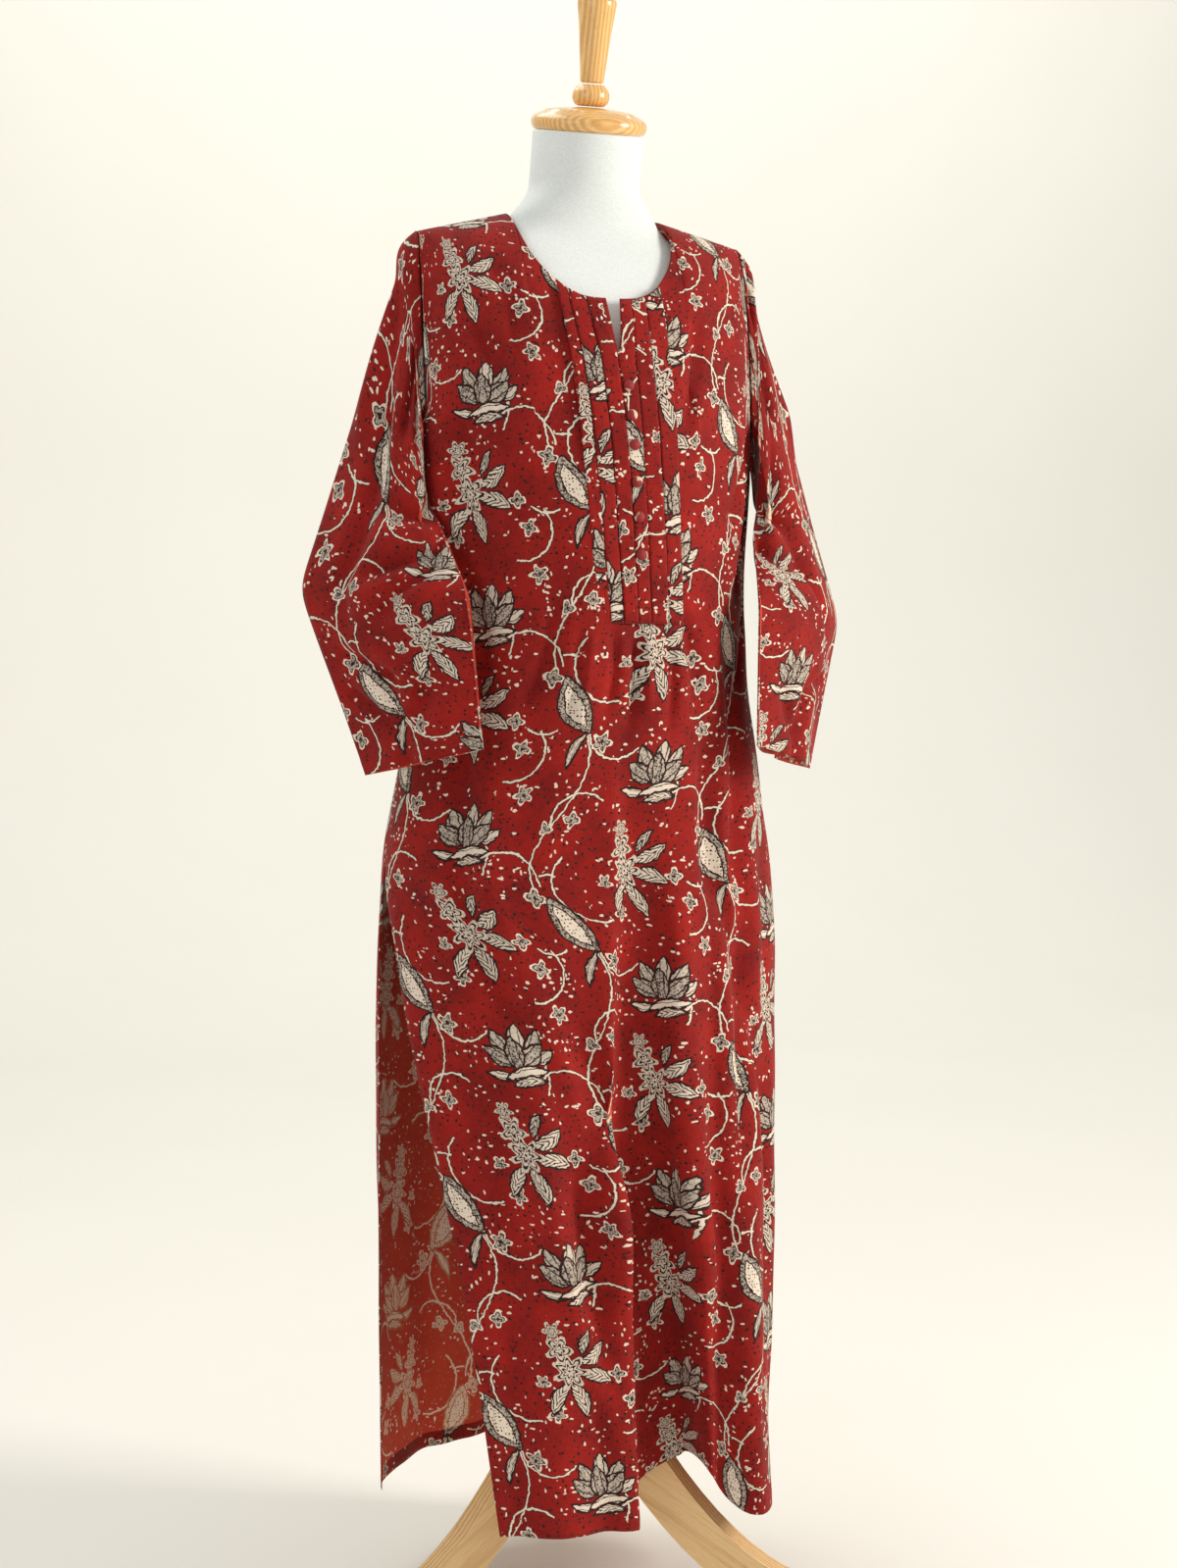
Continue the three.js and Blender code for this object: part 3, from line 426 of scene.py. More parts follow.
def print_vines(tree, place, nearest):
    """Distance to the nearest of the block's curved stems, in millimetres."""
    for x, y, radius, direction, least in VINES:
        local = add(tree, "VectorMath", [place, (x, y, 0)], operation="SUBTRACT")
        away = add(tree, "VectorMath", [local], operation="LENGTH").outputs[1]
        off = add(tree, "Math", [away, radius], operation="SUBTRACT")
        off = add(tree, "Math", [off], operation="ABSOLUTE")
        turn = math.radians(direction)
        side = add(tree, "VectorMath", [local, (math.cos(turn), math.sin(turn), 0)], operation="DOT_PRODUCT")
        hidden = add(tree, "Math", [side.outputs[1], least], operation="LESS_THAN")
        off = add(tree, "Math", [hidden, 90, off], operation="MULTIPLY_ADD")
        nearest = add(tree, "Math", [nearest, off], operation="MINIMUM")
    return nearest


def block_print_group():
    """The block print as a node group: flat place in, motif cover, line, grey and dots out."""
    tree = bpy.data.node_groups.new("block_print", "ShaderNodeTree")
    tree.interface.new_socket("Flat", in_out="INPUT", socket_type="NodeSocketVector")
    for name in ("Cover", "Line", "Grey", "Vine", "Dots", "Sprigs"):
        tree.interface.new_socket(name, in_out="OUTPUT", socket_type="NodeSocketFloat")
    source = tree.nodes.new("NodeGroupInput")
    # The cloth moves a little under the block, and dye creeps along the threads.
    creep = add(tree, "TexNoise", {"Vector": source.outputs[0], "Scale": 0.16, "Detail": 2.0})
    shift = add(tree, "VectorMath", [creep.outputs[1], (0.5, 0.5, 0.5)], operation="SUBTRACT")
    shift = add(tree, "VectorMath", [shift, (5.0, 5.0, 0)], operation="MULTIPLY")
    flat = add(tree, "VectorMath", [source.outputs[0], shift], operation="ADD")
    by_lotus = lattice_place(tree, flat, 0, 0)
    by_spray = lattice_place(tree, flat, -16, -88)
    by_pod = lattice_place(tree, flat, 88, -82)
    part = add(tree, "SeparateXYZ", [by_pod])
    stem = add(tree, "Math", [part.outputs[1], 2 * math.pi / REPEAT_V], operation="MULTIPLY")
    stem = add(tree, "Math", [stem], operation="SINE")
    stem = add(tree, "Math", [stem, 22, part.outputs[0]], operation="MULTIPLY_ADD")
    stem = add(tree, "Math", [stem], operation="ABSOLUTE")
    nearest = print_vines(tree, by_spray, stem)
    state = add(tree, "CombineXYZ", [0, 0, 0])
    state = print_flowers(tree, by_lotus, state, BLOSSOMS, 0.9, False)
    state = print_petals(tree, by_pod, state, POD, 1.1)
    state = print_petals(tree, by_spray, state, SPRAY, 1.0)
    state = print_flowers(tree, by_spray, state, ROSETTES, 1.0, True)
    state = print_petals(tree, by_lotus, state, LOTUS, 1.1)
    marks = add(tree, "SeparateXYZ", [state])
    # Dabs of the block's filling: pale dashes in loose groups, and fine dark dots beside them.
    groups = add(tree, "TexNoise", {"Vector": flat, "Scale": 0.03, "Detail": 1.0})
    groups = add(tree, "MapRange", [groups, 0.42, 0.62, 0.02, 0.75])
    dot = None
    for lean, stretch, most in ((0.7, (0.095, 0.18, 1), 1.0), (-0.5, (0.19, 0.12, 1), 0.85)):
        dabs = add(tree, "Mapping", {0: flat, 2: (0, 0, lean), 3: stretch})
        cells = add(tree, "TexVoronoi", {"Vector": dabs, "Scale": 1.0, "Randomness": 1.0})
        chosen = add(tree, "SeparateXYZ", [cells.outputs[1]])
        most = add(tree, "Math", [groups, most], operation="MULTIPLY")
        chosen = add(tree, "Math", [chosen, most], operation="LESS_THAN")
        dab = add(tree, "Math", [cells.outputs[0], 0.215], operation="LESS_THAN")
        dab = add(tree, "Math", [dab, chosen], operation="MULTIPLY")
        dot = dab if dot is None else add(tree, "Math", [dot, dab], operation="MAXIMUM")
    fine = add(tree, "TexVoronoi", {"Vector": flat, "Scale": 0.21, "Randomness": 1.0})
    picked = add(tree, "SeparateXYZ", [fine.outputs[1]])
    picked = add(tree, "Math", [picked.outputs[1], 0.62], operation="LESS_THAN")
    sprig = add(tree, "Math", [fine.outputs[0], 0.26], operation="LESS_THAN")
    sprig = add(tree, "Math", [sprig, picked], operation="MULTIPLY")
    end = tree.nodes.new("NodeGroupOutput")
    for k, out in enumerate((*marks.outputs[:3], nearest.outputs[0], dot.outputs[0], sprig.outputs[0])):
        tree.links.new(out, end.inputs[k])
    return tree


BLOCK_PRINT = block_print_group()
seam_lines = []


def seam_line(grid, rows, columns, sign=1):
    """Keeps a line of stitches on a panel: its points, and the cloth's outward direction there."""
    seam_lines.append((grid[rows, columns], sign * grid_normals(grid)[rows, columns]))


# Handloom cotton, plain woven at about 22 threads a centimetre and block printed. It is matt, with a
# faint fuzz and thicker threads here and there; the weave is drawn at 1.4 mm, coarse enough to show.
def printed_cotton(name, ground, bright, cream, grey_ink, dark, line_ink, strength):
    material, tree = new_finish(name)
    uv = add(tree, "UVMap", uv_map="cloth")
    flat = add(tree, "VectorMath", [uv, (1000, 1000, 0)], operation="MULTIPLY")
    block = tree.nodes.new("ShaderNodeGroup")
    block.node_tree = BLOCK_PRINT
    tree.links.new(flat.outputs[0], block.inputs[0])
    cover, line, grey, vine, dots, sprigs = block.outputs
    across = add(tree, "Mapping", {0: flat, 3: (0.12, 1.5, 1)})
    weft = add(tree, "TexNoise", {"Vector": across, "Scale": 1.0, "Detail": 2.0})
    down = add(tree, "Mapping", {0: flat, 3: (1.5, 0.12, 1)})
    warp = add(tree, "TexNoise", {"Vector": down, "Scale": 1.0, "Detail": 2.0})
    threads = add(tree, "Math", [weft, warp], operation="ADD")
    patch = add(tree, "TexNoise", {"Vector": flat, "Scale": 0.02, "Detail": 4.0})
    dye = add(tree, "Math", [threads, 0.55, patch], operation="MULTIPLY_ADD")
    dye = add(tree, "MapRange", [dye, 0.75, 1.4, 0.0, 1.0])
    base = add(tree, "Mix", {0: dye, 6: paint(ground), 7: paint(bright)}, data_type="RGBA").outputs[2]
    base = add(tree, "Mix", {0: sprigs, 6: base, 7: paint(dark)}, data_type="RGBA").outputs[2]
    base = add(tree, "Mix", {0: dots, 6: base, 7: paint(cream)}, data_type="RGBA").outputs[2]
    bark = add(tree, "Math", [vine, 1.75], operation="LESS_THAN")
    base = add(tree, "Mix", {0: bark, 6: base, 7: paint(line_ink)}, data_type="RGBA").outputs[2]
    sap = add(tree, "Math", [vine, 0.9], operation="LESS_THAN")
    base = add(tree, "Mix", {0: sap, 6: base, 7: paint(cream)}, data_type="RGBA").outputs[2]
    stipple = add(tree, "TexVoronoi", {"Vector": flat, "Scale": 0.42, "Randomness": 0.7})
    stipple = add(tree, "MapRange", [stipple, 0.3, 0.62, 1.0, 0.4])
    shade = add(tree, "Math", [stipple, grey], operation="MULTIPLY")
    motif = add(tree, "Mix", {0: shade, 6: paint(cream), 7: paint(grey_ink)}, data_type="RGBA").outputs[2]
    motif = add(tree, "Mix", {0: line, 6: motif, 7: paint(dark)}, data_type="RGBA").outputs[2]
    base = add(tree, "Mix", {0: cover, 6: base, 7: motif}, data_type="RGBA").outputs[2]
    worn = add(tree, "MapRange", [threads, 0.8, 1.25, strength * 0.8, strength])
    plain = add(tree, "Mix", {0: worn, 6: paint(ground), 7: base}, data_type="RGBA").outputs[2]
    relief = add(tree, "Bump", {"Strength": 0.35, "Distance": 0.0004, "Height": threads})
    shader = add(
        tree, "BsdfPrincipled",
        {"Base Color": plain, "Roughness": 0.86, "IOR": 1.46, "Normal": relief,
         "Specular IOR Level": 0.3, "Sheen Weight": 0.04, "Sheen Roughness": 0.5},
    )
    add(tree, "OutputMaterial", [shader])
    return material


right_side = printed_cotton(
    "printed_cotton", "#690807", "#ae1c11", "#ecdecb", "#33342f", "#221513", "#452418", 1.0
)
# The wrong side is paler than the right side, and its colours are brightened further as painted light. This
# stands in for light coming through the thin cotton into the shade inside the kurta.
wrong_side_with_painted_light = printed_cotton(
    "printed_cotton_wrong_side", "#c4402e", "#dc5a43", "#fff8e8", "#efd8bb", "#c4896a", "#cf8d6a", 0.95
)

sines = panel_sines()
middle = len(sines) // 2
parts = column_parts(sines, read(BODY, CHEST_Z, "front"))
heights = np.linspace(HEM_Z, CHEST_Z, SKIRT_ROWS + 1)
rows = [resample(front_line(z), parts) for z in heights]
rows += top_rows(sines, read(BODY, CHEST_Z, "front"), NECK_FRONT_Z, FRONT_FULLNESS, -1, TOP_ROWS)
grid = blur_rows(np.array(rows), FRONT_BLUR, SKIRT_ROWS + 10)


def flat_places(grid, chest_row, grain):
    """Flat u and v of every point: u runs along the rows from a straight grain line at one edge."""
    rows, columns = grid.shape[:2]
    steps = np.linalg.norm(np.diff(grid, axis=1), axis=2)
    u = np.concatenate([np.zeros((rows, 1)), np.cumsum(steps, axis=1)], axis=1)
    u = u - grain
    u[chest_row + 1:] = u[chest_row] * (grid[chest_row + 1:, -1:, 0] / grid[chest_row, -1, 0])
    v = np.zeros((rows, columns))
    v[:chest_row + 1] = heights[:, None]
    rise = np.linalg.norm(np.diff(grid[chest_row:], axis=0), axis=2)
    v[chest_row + 1:] = CHEST_Z + np.cumsum(rise, axis=0)
    return u, v


FRONT_GRAIN = 224.0
FRONT_SHIFT = 68.0
u, v = flat_places(grid, SKIRT_ROWS, FRONT_GRAIN)
normals = grid_normals(grid)
away = np.clip((v - HEM_Z) / 60, 0.25, 1)
inward = FRONT_CREASING * crease_depth(u, v, FRONT_CREASES) * away + hand_wave(u, v, FRONT_WAVE)
inward *= np.clip((1375 - grid[..., 2]) / 60, 0, 1)
at_seam = np.minimum(np.abs(np.arange(len(sines))), np.abs(np.arange(len(sines))[::-1]))
inward *= np.clip(at_seam / 5, 0, 1)
grid = grid + normals * (hem_step(v, HEM_Z) - inward)[..., None]

SLIT_TOP_ROW = 112
HEM_ROW = 3
seam_line(grid, HEM_ROW, slice(1, -1))
seam_line(grid, slice(HEM_ROW, SLIT_TOP_ROW), 2)
seam_line(grid, -2, slice(SIDE_COLUMNS + 1, middle - 22))
seam_line(grid, -2, slice(middle + 24, -SIDE_COLUMNS - 1))


def split_half(z):
    part = np.clip((z - (NECK_FRONT_Z - SPLIT_DEPTH)) / SPLIT_DEPTH, 0, 1)
    return part**0.7 * SPLIT_WIDTH / 2


gap = split_half(grid[:, middle, 2])[:, None]
grid[..., 0] += gap * np.maximum(0, 1 - np.abs(grid[..., 0]) / SPLIT_REACH) * np.sign(grid[..., 0])
numbers = np.arange(grid.shape[0] * grid.shape[1]).reshape(grid.shape[:2])
points = grid.reshape(-1, 3)
flat = np.stack([u - FRONT_SHIFT, v], 2).reshape(-1, 2)
open_rows = np.flatnonzero(gap[:, 0] > 0)
doubles = points[numbers[open_rows, middle]].copy()
points[numbers[open_rows, middle], 0] = -gap[open_rows, 0]
doubles[:, 0] = gap[open_rows, 0]
left_numbers = numbers[:, middle:].copy()
left_numbers[open_rows, 0] = len(points) + np.arange(len(open_rows))
flat = np.concatenate([flat, flat[numbers[open_rows, middle]]])
points = np.concatenate([points, doubles])
quads = np.concatenate([grid_quads(numbers[:, :middle + 1]), grid_quads(left_numbers)])
turned = (quads[:, 0] < HEM_ROW * len(sines))
turned |= (quads[:, 0] % len(sines) < 2) & (quads[:, 0] < SLIT_TOP_ROW * len(sines))
front = cloth_shell("kurta_front", points, quads, flat, [right_side, wrong_side_with_painted_light], turned=turned)
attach(front, "root")
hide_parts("front")

# ---------------------------------------------------------------- back panel
# The back is one plain length of the same cotton, joined to the front at the shoulders and the left
# side. At the right slit its inner face, duller in dye and brightened by painted light, shows past
# the front's edge. It hangs in soft flutes.
NECK_BACK_Z = 1366.0
BACK_FULLNESS = 2.5
BACK_BLUR = 26
BACK_CREASING, BACK_WAVE = 2.8, 3.0
BACK_FLUTES = [(-128, 64, 13, 640), (-30, 84, 16, 720), (84, 76, 12, 600)]
BACK_CREASES = [
    (-60, 940, -90, 520, 18, 3.2), (40, 960, 20, 480, 16, 2.8), (120, 900, 150, 400, 16, 3.2),
    (-150, 880, -170, 380, 15, 2.8), (-20, 1080, 30, 1010, 12, 2.4), (60, 1060, 120, 990, 11, 2.6),
    (-70, 1050, -130, 985, 11, 2.6), (150, 1190, 90, 1100, 11, 2.6), (-150, 1190, -96, 1095, 11, 2.8),
    (-96, 640, -110, 200, 14, -2.6), (80, 700, 96, 240, 15, -2.6), (0, 1340, 0, 1180, 14, 1.4),
    (-170, 1120, -120, 930, 10, 2.2), (170, 1110, 122, 925, 10, 2.2), (-24, 700, -18, 300, 13, 2.2),
]
BACK_GRAIN = 240.0
BACK_SHIFT = (108, 47)


def back_line(z):
    """One level line of the back, from the wearer's left edge to the right."""
    angle = np.radians(np.linspace(-90, read(SLIT, z, "back"), 481))
    x = -read(BODY, z, "half") * np.sin(angle)
    out = np.zeros_like(x)
    for middle_x, width, depth, top in BACK_FLUTES:
        grown = np.clip((top - z) / (top - HEM_Z), 0, 1)
        out += grown * depth * bump(x, middle_x - width / 2, middle_x + width / 2)
    y = SEAM_Y + SEAM_GAP / 2 + read(BODY, z, "back") * np.cos(angle) + out
    return np.stack([x, y, np.full_like(x, z)], 1)


back_parts = column_parts(sines, read(BODY, CHEST_Z, "back"))
rows = [resample(back_line(z), back_parts) for z in heights]
rows += top_rows(-sines, read(BODY, CHEST_Z, "back"), NECK_BACK_Z, BACK_FULLNESS, 1, TOP_ROWS)
grid = blur_rows(np.array(rows), BACK_BLUR, SKIRT_ROWS + 10)
u, v = flat_places(grid, SKIRT_ROWS, BACK_GRAIN)
inward = BACK_CREASING * crease_depth(u, v, BACK_CREASES) + hand_wave(u + 71, v + 33, BACK_WAVE)
inward *= np.clip((1385 - grid[..., 2]) / 60, 0, 1) * np.clip(at_seam / 5, 0, 1)
grid = grid + grid_normals(grid) * (hem_step(v, HEM_Z) - inward)[..., None]
seam_line(grid, HEM_ROW, slice(1, -1))
seam_line(grid, slice(HEM_ROW, SLIT_TOP_ROW), -3)
seam_line(grid, -2, slice(SIDE_COLUMNS + 1, -SIDE_COLUMNS - 1))
back_flat = np.stack([u + BACK_SHIFT[0], v + BACK_SHIFT[1]], 2).reshape(-1, 2)
quads = grid_quads(numbers)
turned = (quads[:, 0] < HEM_ROW * len(sines))
turned |= (quads[:, 0] % len(sines) > len(sines) - 5) & (quads[:, 0] < SLIT_TOP_ROW * len(sines))
back = cloth_shell("kurta_back", grid.reshape(-1, 3), quads, back_flat, [right_side, wrong_side_with_painted_light],
                   turned=turned)
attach(back, "root")
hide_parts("back")

# ---------------------------------------------------------------- tucks and placket
# Stitched tucks each side of the opening: narrow bands folded from the same cotton, pressed away from
# the middle, edge-stitched and ended in one level line of stitches. The button stand lies under the
# placket's edge. The folds slice the print, so that no band's print meets its neighbour's.
TUCK_TOP_Z, TUCK_END_Z = 1290.0, 987.0
TUCK_FOLDS = [(-53, -24), (-41, -11), (-22, 2), (-6, 16.5), (13, 30), (29, 49), (50, 65)]
TUCK_CLOTH = 0.9
# Each band: its node, how far its print has moved, the lift of its right and left edges, and the width
# in metres of the strip that shows.
TUCKS = [
    ("tuck_right_outer", 9, 4, 1.9, 1.1, 0.014), ("tuck_right_inner", 20, 38, 2.1, 1.1, 0.017),
    ("placket_edge", 47, 61, 2.0, 2.7, 0.016), ("button_stand", 80, 23, 1.0, 1.3, 0.0165),
    ("tuck_left_inner", 101, 55, 1.2, 2.2, 0.019), ("tuck_left_outer", 125, 12, 1.2, 1.9, 0.021),
]


def front_place(x, z):
    """The front's smooth surface at any x and height above the fold."""
    half = np.where(z <= CHEST_Z, read(BODY, z, "half"), read(BODY, CHEST_Z, "half"))
    across = np.sqrt(1 - (x / half) ** 2)
    rise = np.clip((z - CHEST_Z) / (shoulder_height(x) - CHEST_Z), 0, 1)
    over = np.maximum(0, 1 - rise**FRONT_FULLNESS) ** (1 / FRONT_FULLNESS)
    depth = np.where(z <= CHEST_Z, read(BODY, z, "front"), read(BODY, CHEST_Z, "front") * over)
    return np.stack([x, SEAM_Y - SEAM_GAP / 2 - depth * across, z + 0 * x], -1)


def front_facing(x, z):
    across = front_place(x + 0.5, z) - front_place(x - 0.5, z)
    up = front_place(x, z + 0.5) - front_place(x, z - 0.5)
    facing = np.cross(across, up)
    return facing / np.linalg.norm(facing, axis=-1, keepdims=True)


for k, (name, shift_u, shift_v, lift_right, lift_left, strip_width) in enumerate(TUCKS):
    across = np.linspace(0, 1, 9)[None, :]
    up = np.linspace(0, 1, 92)[:, None]
    foot = TUCK_FOLDS[k][1] + 0.2 + (TUCK_FOLDS[k + 1][1] - TUCK_FOLDS[k][1] - 0.4) * across
    head = TUCK_FOLDS[k][0] + 0.2 + (TUCK_FOLDS[k + 1][0] - TUCK_FOLDS[k][0] - 0.4) * across
    wander = 0.5 * np.sin(up * 9 + k * 1.7) * (1 - np.abs(2 * up - 1))
    x = foot + (head - foot) * up + wander
    z = TUCK_END_Z + (neck_height(x, NECK_FRONT_Z) - 2.5 - TUCK_END_Z) * up
    if name == "button_stand":
        edge = np.maximum(x[:, :1], 0.6)
        x = np.where(split_half(z[:, :1]) > 0.3, edge + (x[:, -1:] - edge) * across, x)
    push = split_half(z) * np.maximum(0, 1 - np.abs(x) / SPLIT_REACH) * np.sign(x)
    lift = lift_right + (lift_left - lift_right) * across
    rolled = 0.5 * np.exp(-((np.minimum(across, 1 - across) * 16) / 1.4) ** 2)
    lift = (lift + 0.9 - rolled + 0.18 * np.sin(up * 31 + 2 * k) * across)
    lift = lift * np.clip(up * 40 + 0.35, 0, 1)
    grid = front_place(x, z) + front_facing(x, z) * lift[..., None]
    grid[..., 0] += push
    strip_flat = np.stack([x * 1.04 + shift_u, z + shift_v + 0 * x], 2).reshape(-1, 2)
    strip_numbers = np.arange(grid.shape[0] * grid.shape[1]).reshape(grid.shape[:2])
    band = cloth_shell(name + "_band", grid.reshape(-1, 3), grid_quads(strip_numbers), strip_flat,
                       [right_side], TUCK_CLOTH)
    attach(band, "root")
    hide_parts(name)

# ---------------------------------------------------------------- buttons
# Six small domed buttons, covered with the plain ground of the cotton drawn over a shell and pinched
# behind. Each is a shallow dome with a turned-in rim, and holds its loop on the button stand.
BUTTON_HEIGHTS = (1213, 1185, 1157, 1122, 1089, 1053)
BUTTON_PLACE = 0.42
BUTTON_LIFT, BUTTON_SIDES = 2.3, 28
BUTTON_PROFILE = [
    (3.6, 0.0), (4.7, 0.15), (5.25, 0.7), (5.4, 1.4), (5.1, 2.5), (4.3, 3.6), (3.1, 4.4), (1.6, 4.9),
]


def lathe_turned(profile, sides, origin, axis):
    """Points and quads of a turned shape about an axis, from rows of radius and height."""
    axis = np.asarray(axis, float) / np.linalg.norm(axis)
    side = np.cross(axis, (1, 0, 0) if abs(axis[0]) < 0.9 else (0, 1, 0))
    side /= np.linalg.norm(side)
    other = np.cross(axis, side)
    angle = np.linspace(0, 2 * np.pi, sides, endpoint=False)
    ring = np.cos(angle)[:, None] * side + np.sin(angle)[:, None] * other
    points = np.concatenate([np.asarray(origin) + r * ring + h * axis for r, h in profile])
    numbers = np.arange(len(points)).reshape(len(profile), sides)
    numbers = np.concatenate([numbers, numbers[:, :1]], 1)
    return points, grid_quads(numbers)


def body_mesh(name, points, quads, materials, closed_ends=()):
    """A solid of quads with its end rings closed, in the frame's place, its faces turned one way and shaded
    smooth.
    """
    mesh = bpy.data.meshes.new(name)
    mesh.from_pydata(in_frame(points).tolist(), [], [*quads.tolist(), *map(list, closed_ends)])
    whole = bmesh.new()
    whole.from_mesh(mesh)
    bmesh.ops.recalc_face_normals(whole, faces=whole.faces)
    whole.to_mesh(mesh)
    whole.free()
    return smooth_piece(name, mesh, materials)


# The button's cotton is the same madder ground, drawn tight, so it is a little smoother. Threads of
# 0.45 mm are drawn at 0.8 mm; here and there a scrap of the pale print crosses the dome.
button_cotton, tree = new_finish("button_cotton")
spot = add(tree, "TexCoord").outputs[3]
threads = add(tree, "TexNoise", {"Vector": spot, "Scale": 1250.0, "Detail": 1.0})
scrap = add(tree, "TexNoise", {"Vector": spot, "Scale": 75.0, "Detail": 0.0})
scrap = add(tree, "MapRange", [scrap, 0.66, 0.68, 0.0, 1.0])
base = add(tree, "Mix", {0: threads, 6: paint("#741013"), 7: paint("#a5201f")}, data_type="RGBA")
base = add(tree, "Mix", {0: scrap, 6: base.outputs[2], 7: paint("#d9c3a4")}, data_type="RGBA")
relief = add(tree, "Bump", {"Strength": 0.3, "Distance": 0.0002, "Height": threads})
shader = add(
    tree, "BsdfPrincipled",
    {"Base Color": base.outputs[2], "Roughness": 0.62, "IOR": 1.46, "Normal": relief, "Sheen Weight": 0.1},
)
add(tree, "OutputMaterial", [shader])

for k, z in enumerate(BUTTON_HEIGHTS):
    down = (TUCK_TOP_Z - z) / (TUCK_TOP_Z - TUCK_END_Z)
    edges = [TUCK_FOLDS[i][0] + (TUCK_FOLDS[i][1] - TUCK_FOLDS[i][0]) * down for i in (3, 4)]
    x = edges[0] + (edges[1] - edges[0]) * BUTTON_PLACE
    out = front_facing(np.array(x), np.array(float(z)))
    origin = front_place(np.array(x), np.array(float(z))) + out * BUTTON_LIFT
    points, quads = lathe_turned(BUTTON_PROFILE, BUTTON_SIDES, origin, out)
    ends = [range(BUTTON_SIDES - 1, -1, -1), range(len(points) - BUTTON_SIDES, len(points))]
    button = body_mesh(f"covered_button_{k + 1}", points, quads, [button_cotton], ends)
    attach(button, "root")
    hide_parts(f"button_{k + 1}")

# ---------------------------------------------------------------- sleeves
# Two long straight sleeves of the same cotton, one seam each under the arm, set in at the armholes.
# They have been pressed flat, so each has a crease down its outer side, and the empty tubes lean in
# over the front. The cuffs are open, with a narrow hem turned up and stitched.
UNDERARM_TURN = 10.5
SEAM_STEP_OUT = 1.7
SLEEVE_CLEARANCE = 8.0
ELBOW_THICKNESS, CUFF_THICKNESS = 44.0, 30.0
SLEEVE_SIDES = 112
SLEEVE_CREASING, SLEEVE_WAVE = 3.4, 2.6
UPPER_ROWS, LOWER_ROWS = 100, 52
SLEEVES = {
    "sleeve_right": {
        "side": -1, "elbow": ((281, 24, 1022), (147, -113, 1012)),
        "cuff": ((231, -40, 842), (139, -130, 869)), "shift": (34, 66),
        "creases": [
            (150, -120, 60, -190, 9, 3.4), (160, -165, 70, -250, 10, 3.2), (150, -215, 84, -290, 9, 2.6),
            (30, -60, 46, -300, 12, 3.0), (70, -330, 40, -470, 11, 2.6), (120, -340, 70, -400, 9, 2.8),
            (20, -320, 90, -352, 8, 2.6), (10, -350, 60, -400, 8, 2.2), (-40, -80, -70, -330, 13, 3.0),
            (-110, -150, -60, -260, 11, 3.0), (-60, -340, -90, -480, 11, 2.4), (95, -20, 74, -110, 9, 2.6),
            (115, -24, 106, -96, 7, 1.9), (12, -30, 16, -150, 9, -2.0),
        ],
    },
    "sleeve_left": {
        "side": 1, "elbow": ((291, 20, 994), (147, -113, 1004)),
        "cuff": ((233, -40, 842), (138, -130, 869)), "shift": (117, 140),
        "creases": [
            (150, -110, 60, -180, 9, 3.4), (160, -160, 76, -240, 10, 3.0), (4, -15, 84, -18, 8, 3.8),
            (22, -30, 60, -96, 11, 3.6),
            (-6, -10, 6, -150, 10, -2.6), (64, -4, 78, -86, 8, 4.0), (96, -90, 56, -300, 11, 3.0),
            (80, -330, 50, -480, 11, 2.6), (130, -350, 76, -410, 9, 2.6), (20, -340, 84, -372, 8, 2.6),
            (-40, -40, -60, -300, 13, 3.2), (-120, -140, -60, -250, 11, 3.0), (-70, -340, -96, -480, 11, 2.4),
        ],
    },
}


def armhole_edge(depth, fullness, side):
    """The armhole from the shoulder tip down to the underarm, on the front or the back."""
    turn = np.linspace(90, UNDERARM_TURN, 241)
    half = read(ARMHOLE, turn, "half", "turn")
    depth_here = depth * np.sqrt(np.maximum(0, 1 - (half / read(BODY, CHEST_Z, "half")) ** 2))
    rise = np.sin(np.radians(turn))
    z = CHEST_Z + (shoulder_height(half) - CHEST_Z) * rise
    out = depth_here * np.maximum(0, 1 - rise**fullness) ** (1 / fullness)
    return np.stack([half, SEAM_Y + side * out, z], 1)


def pressed_ring(outer, inner, thickness):
    """A pressed-flat section: two bowed layers between its two creases."""
    outer, inner = np.array(outer, float), np.array(inner, float)
    across = inner - outer
    bow = np.array([across[1], -across[0], 0]) / math.hypot(across[0], across[1])
    part = np.arange(SLEEVE_SIDES) / SLEEVE_SIDES
    turn = np.sin(2 * np.pi * part)
    bulge = turn * np.abs(turn) ** 0.3 * thickness / 2
    along = 1 - 2 * np.abs(1 - 2 * part)
    return (outer + inner) / 2 + across * along[:, None] / 2 - bow * bulge[:, None]


def clear_of_body(ring):
    """Moves a sleeve's points out until they stand clear of the body panels."""
    z = np.minimum(ring[:, 2], CHEST_Z)
    half = read(BODY, z, "half") + SLEEVE_CLEARANCE
    depth = np.where(ring[:, 1] < SEAM_Y, read(BODY, z, "front"), read(BODY, z, "back")) + SLEEVE_CLEARANCE
    reach = np.minimum(np.hypot(ring[:, 0] / half, (ring[:, 1] - SEAM_Y) / depth), 1)
    moved = ring.copy()
    moved[:, 0] = ring[:, 0] / reach
    moved[:, 1] = SEAM_Y + (ring[:, 1] - SEAM_Y) / reach
    return moved


even = np.linspace(0, 1, SLEEVE_SIDES // 2 + 1)
front_edge = resample(armhole_edge(read(BODY, CHEST_Z, "front"), FRONT_FULLNESS, -1), even)
back_edge = resample(armhole_edge(read(BODY, CHEST_Z, "back"), BACK_FULLNESS, 1), even)
armhole = np.concatenate([front_edge, back_edge[1:-1][::-1]]) + [SEAM_STEP_OUT, 0, 0]

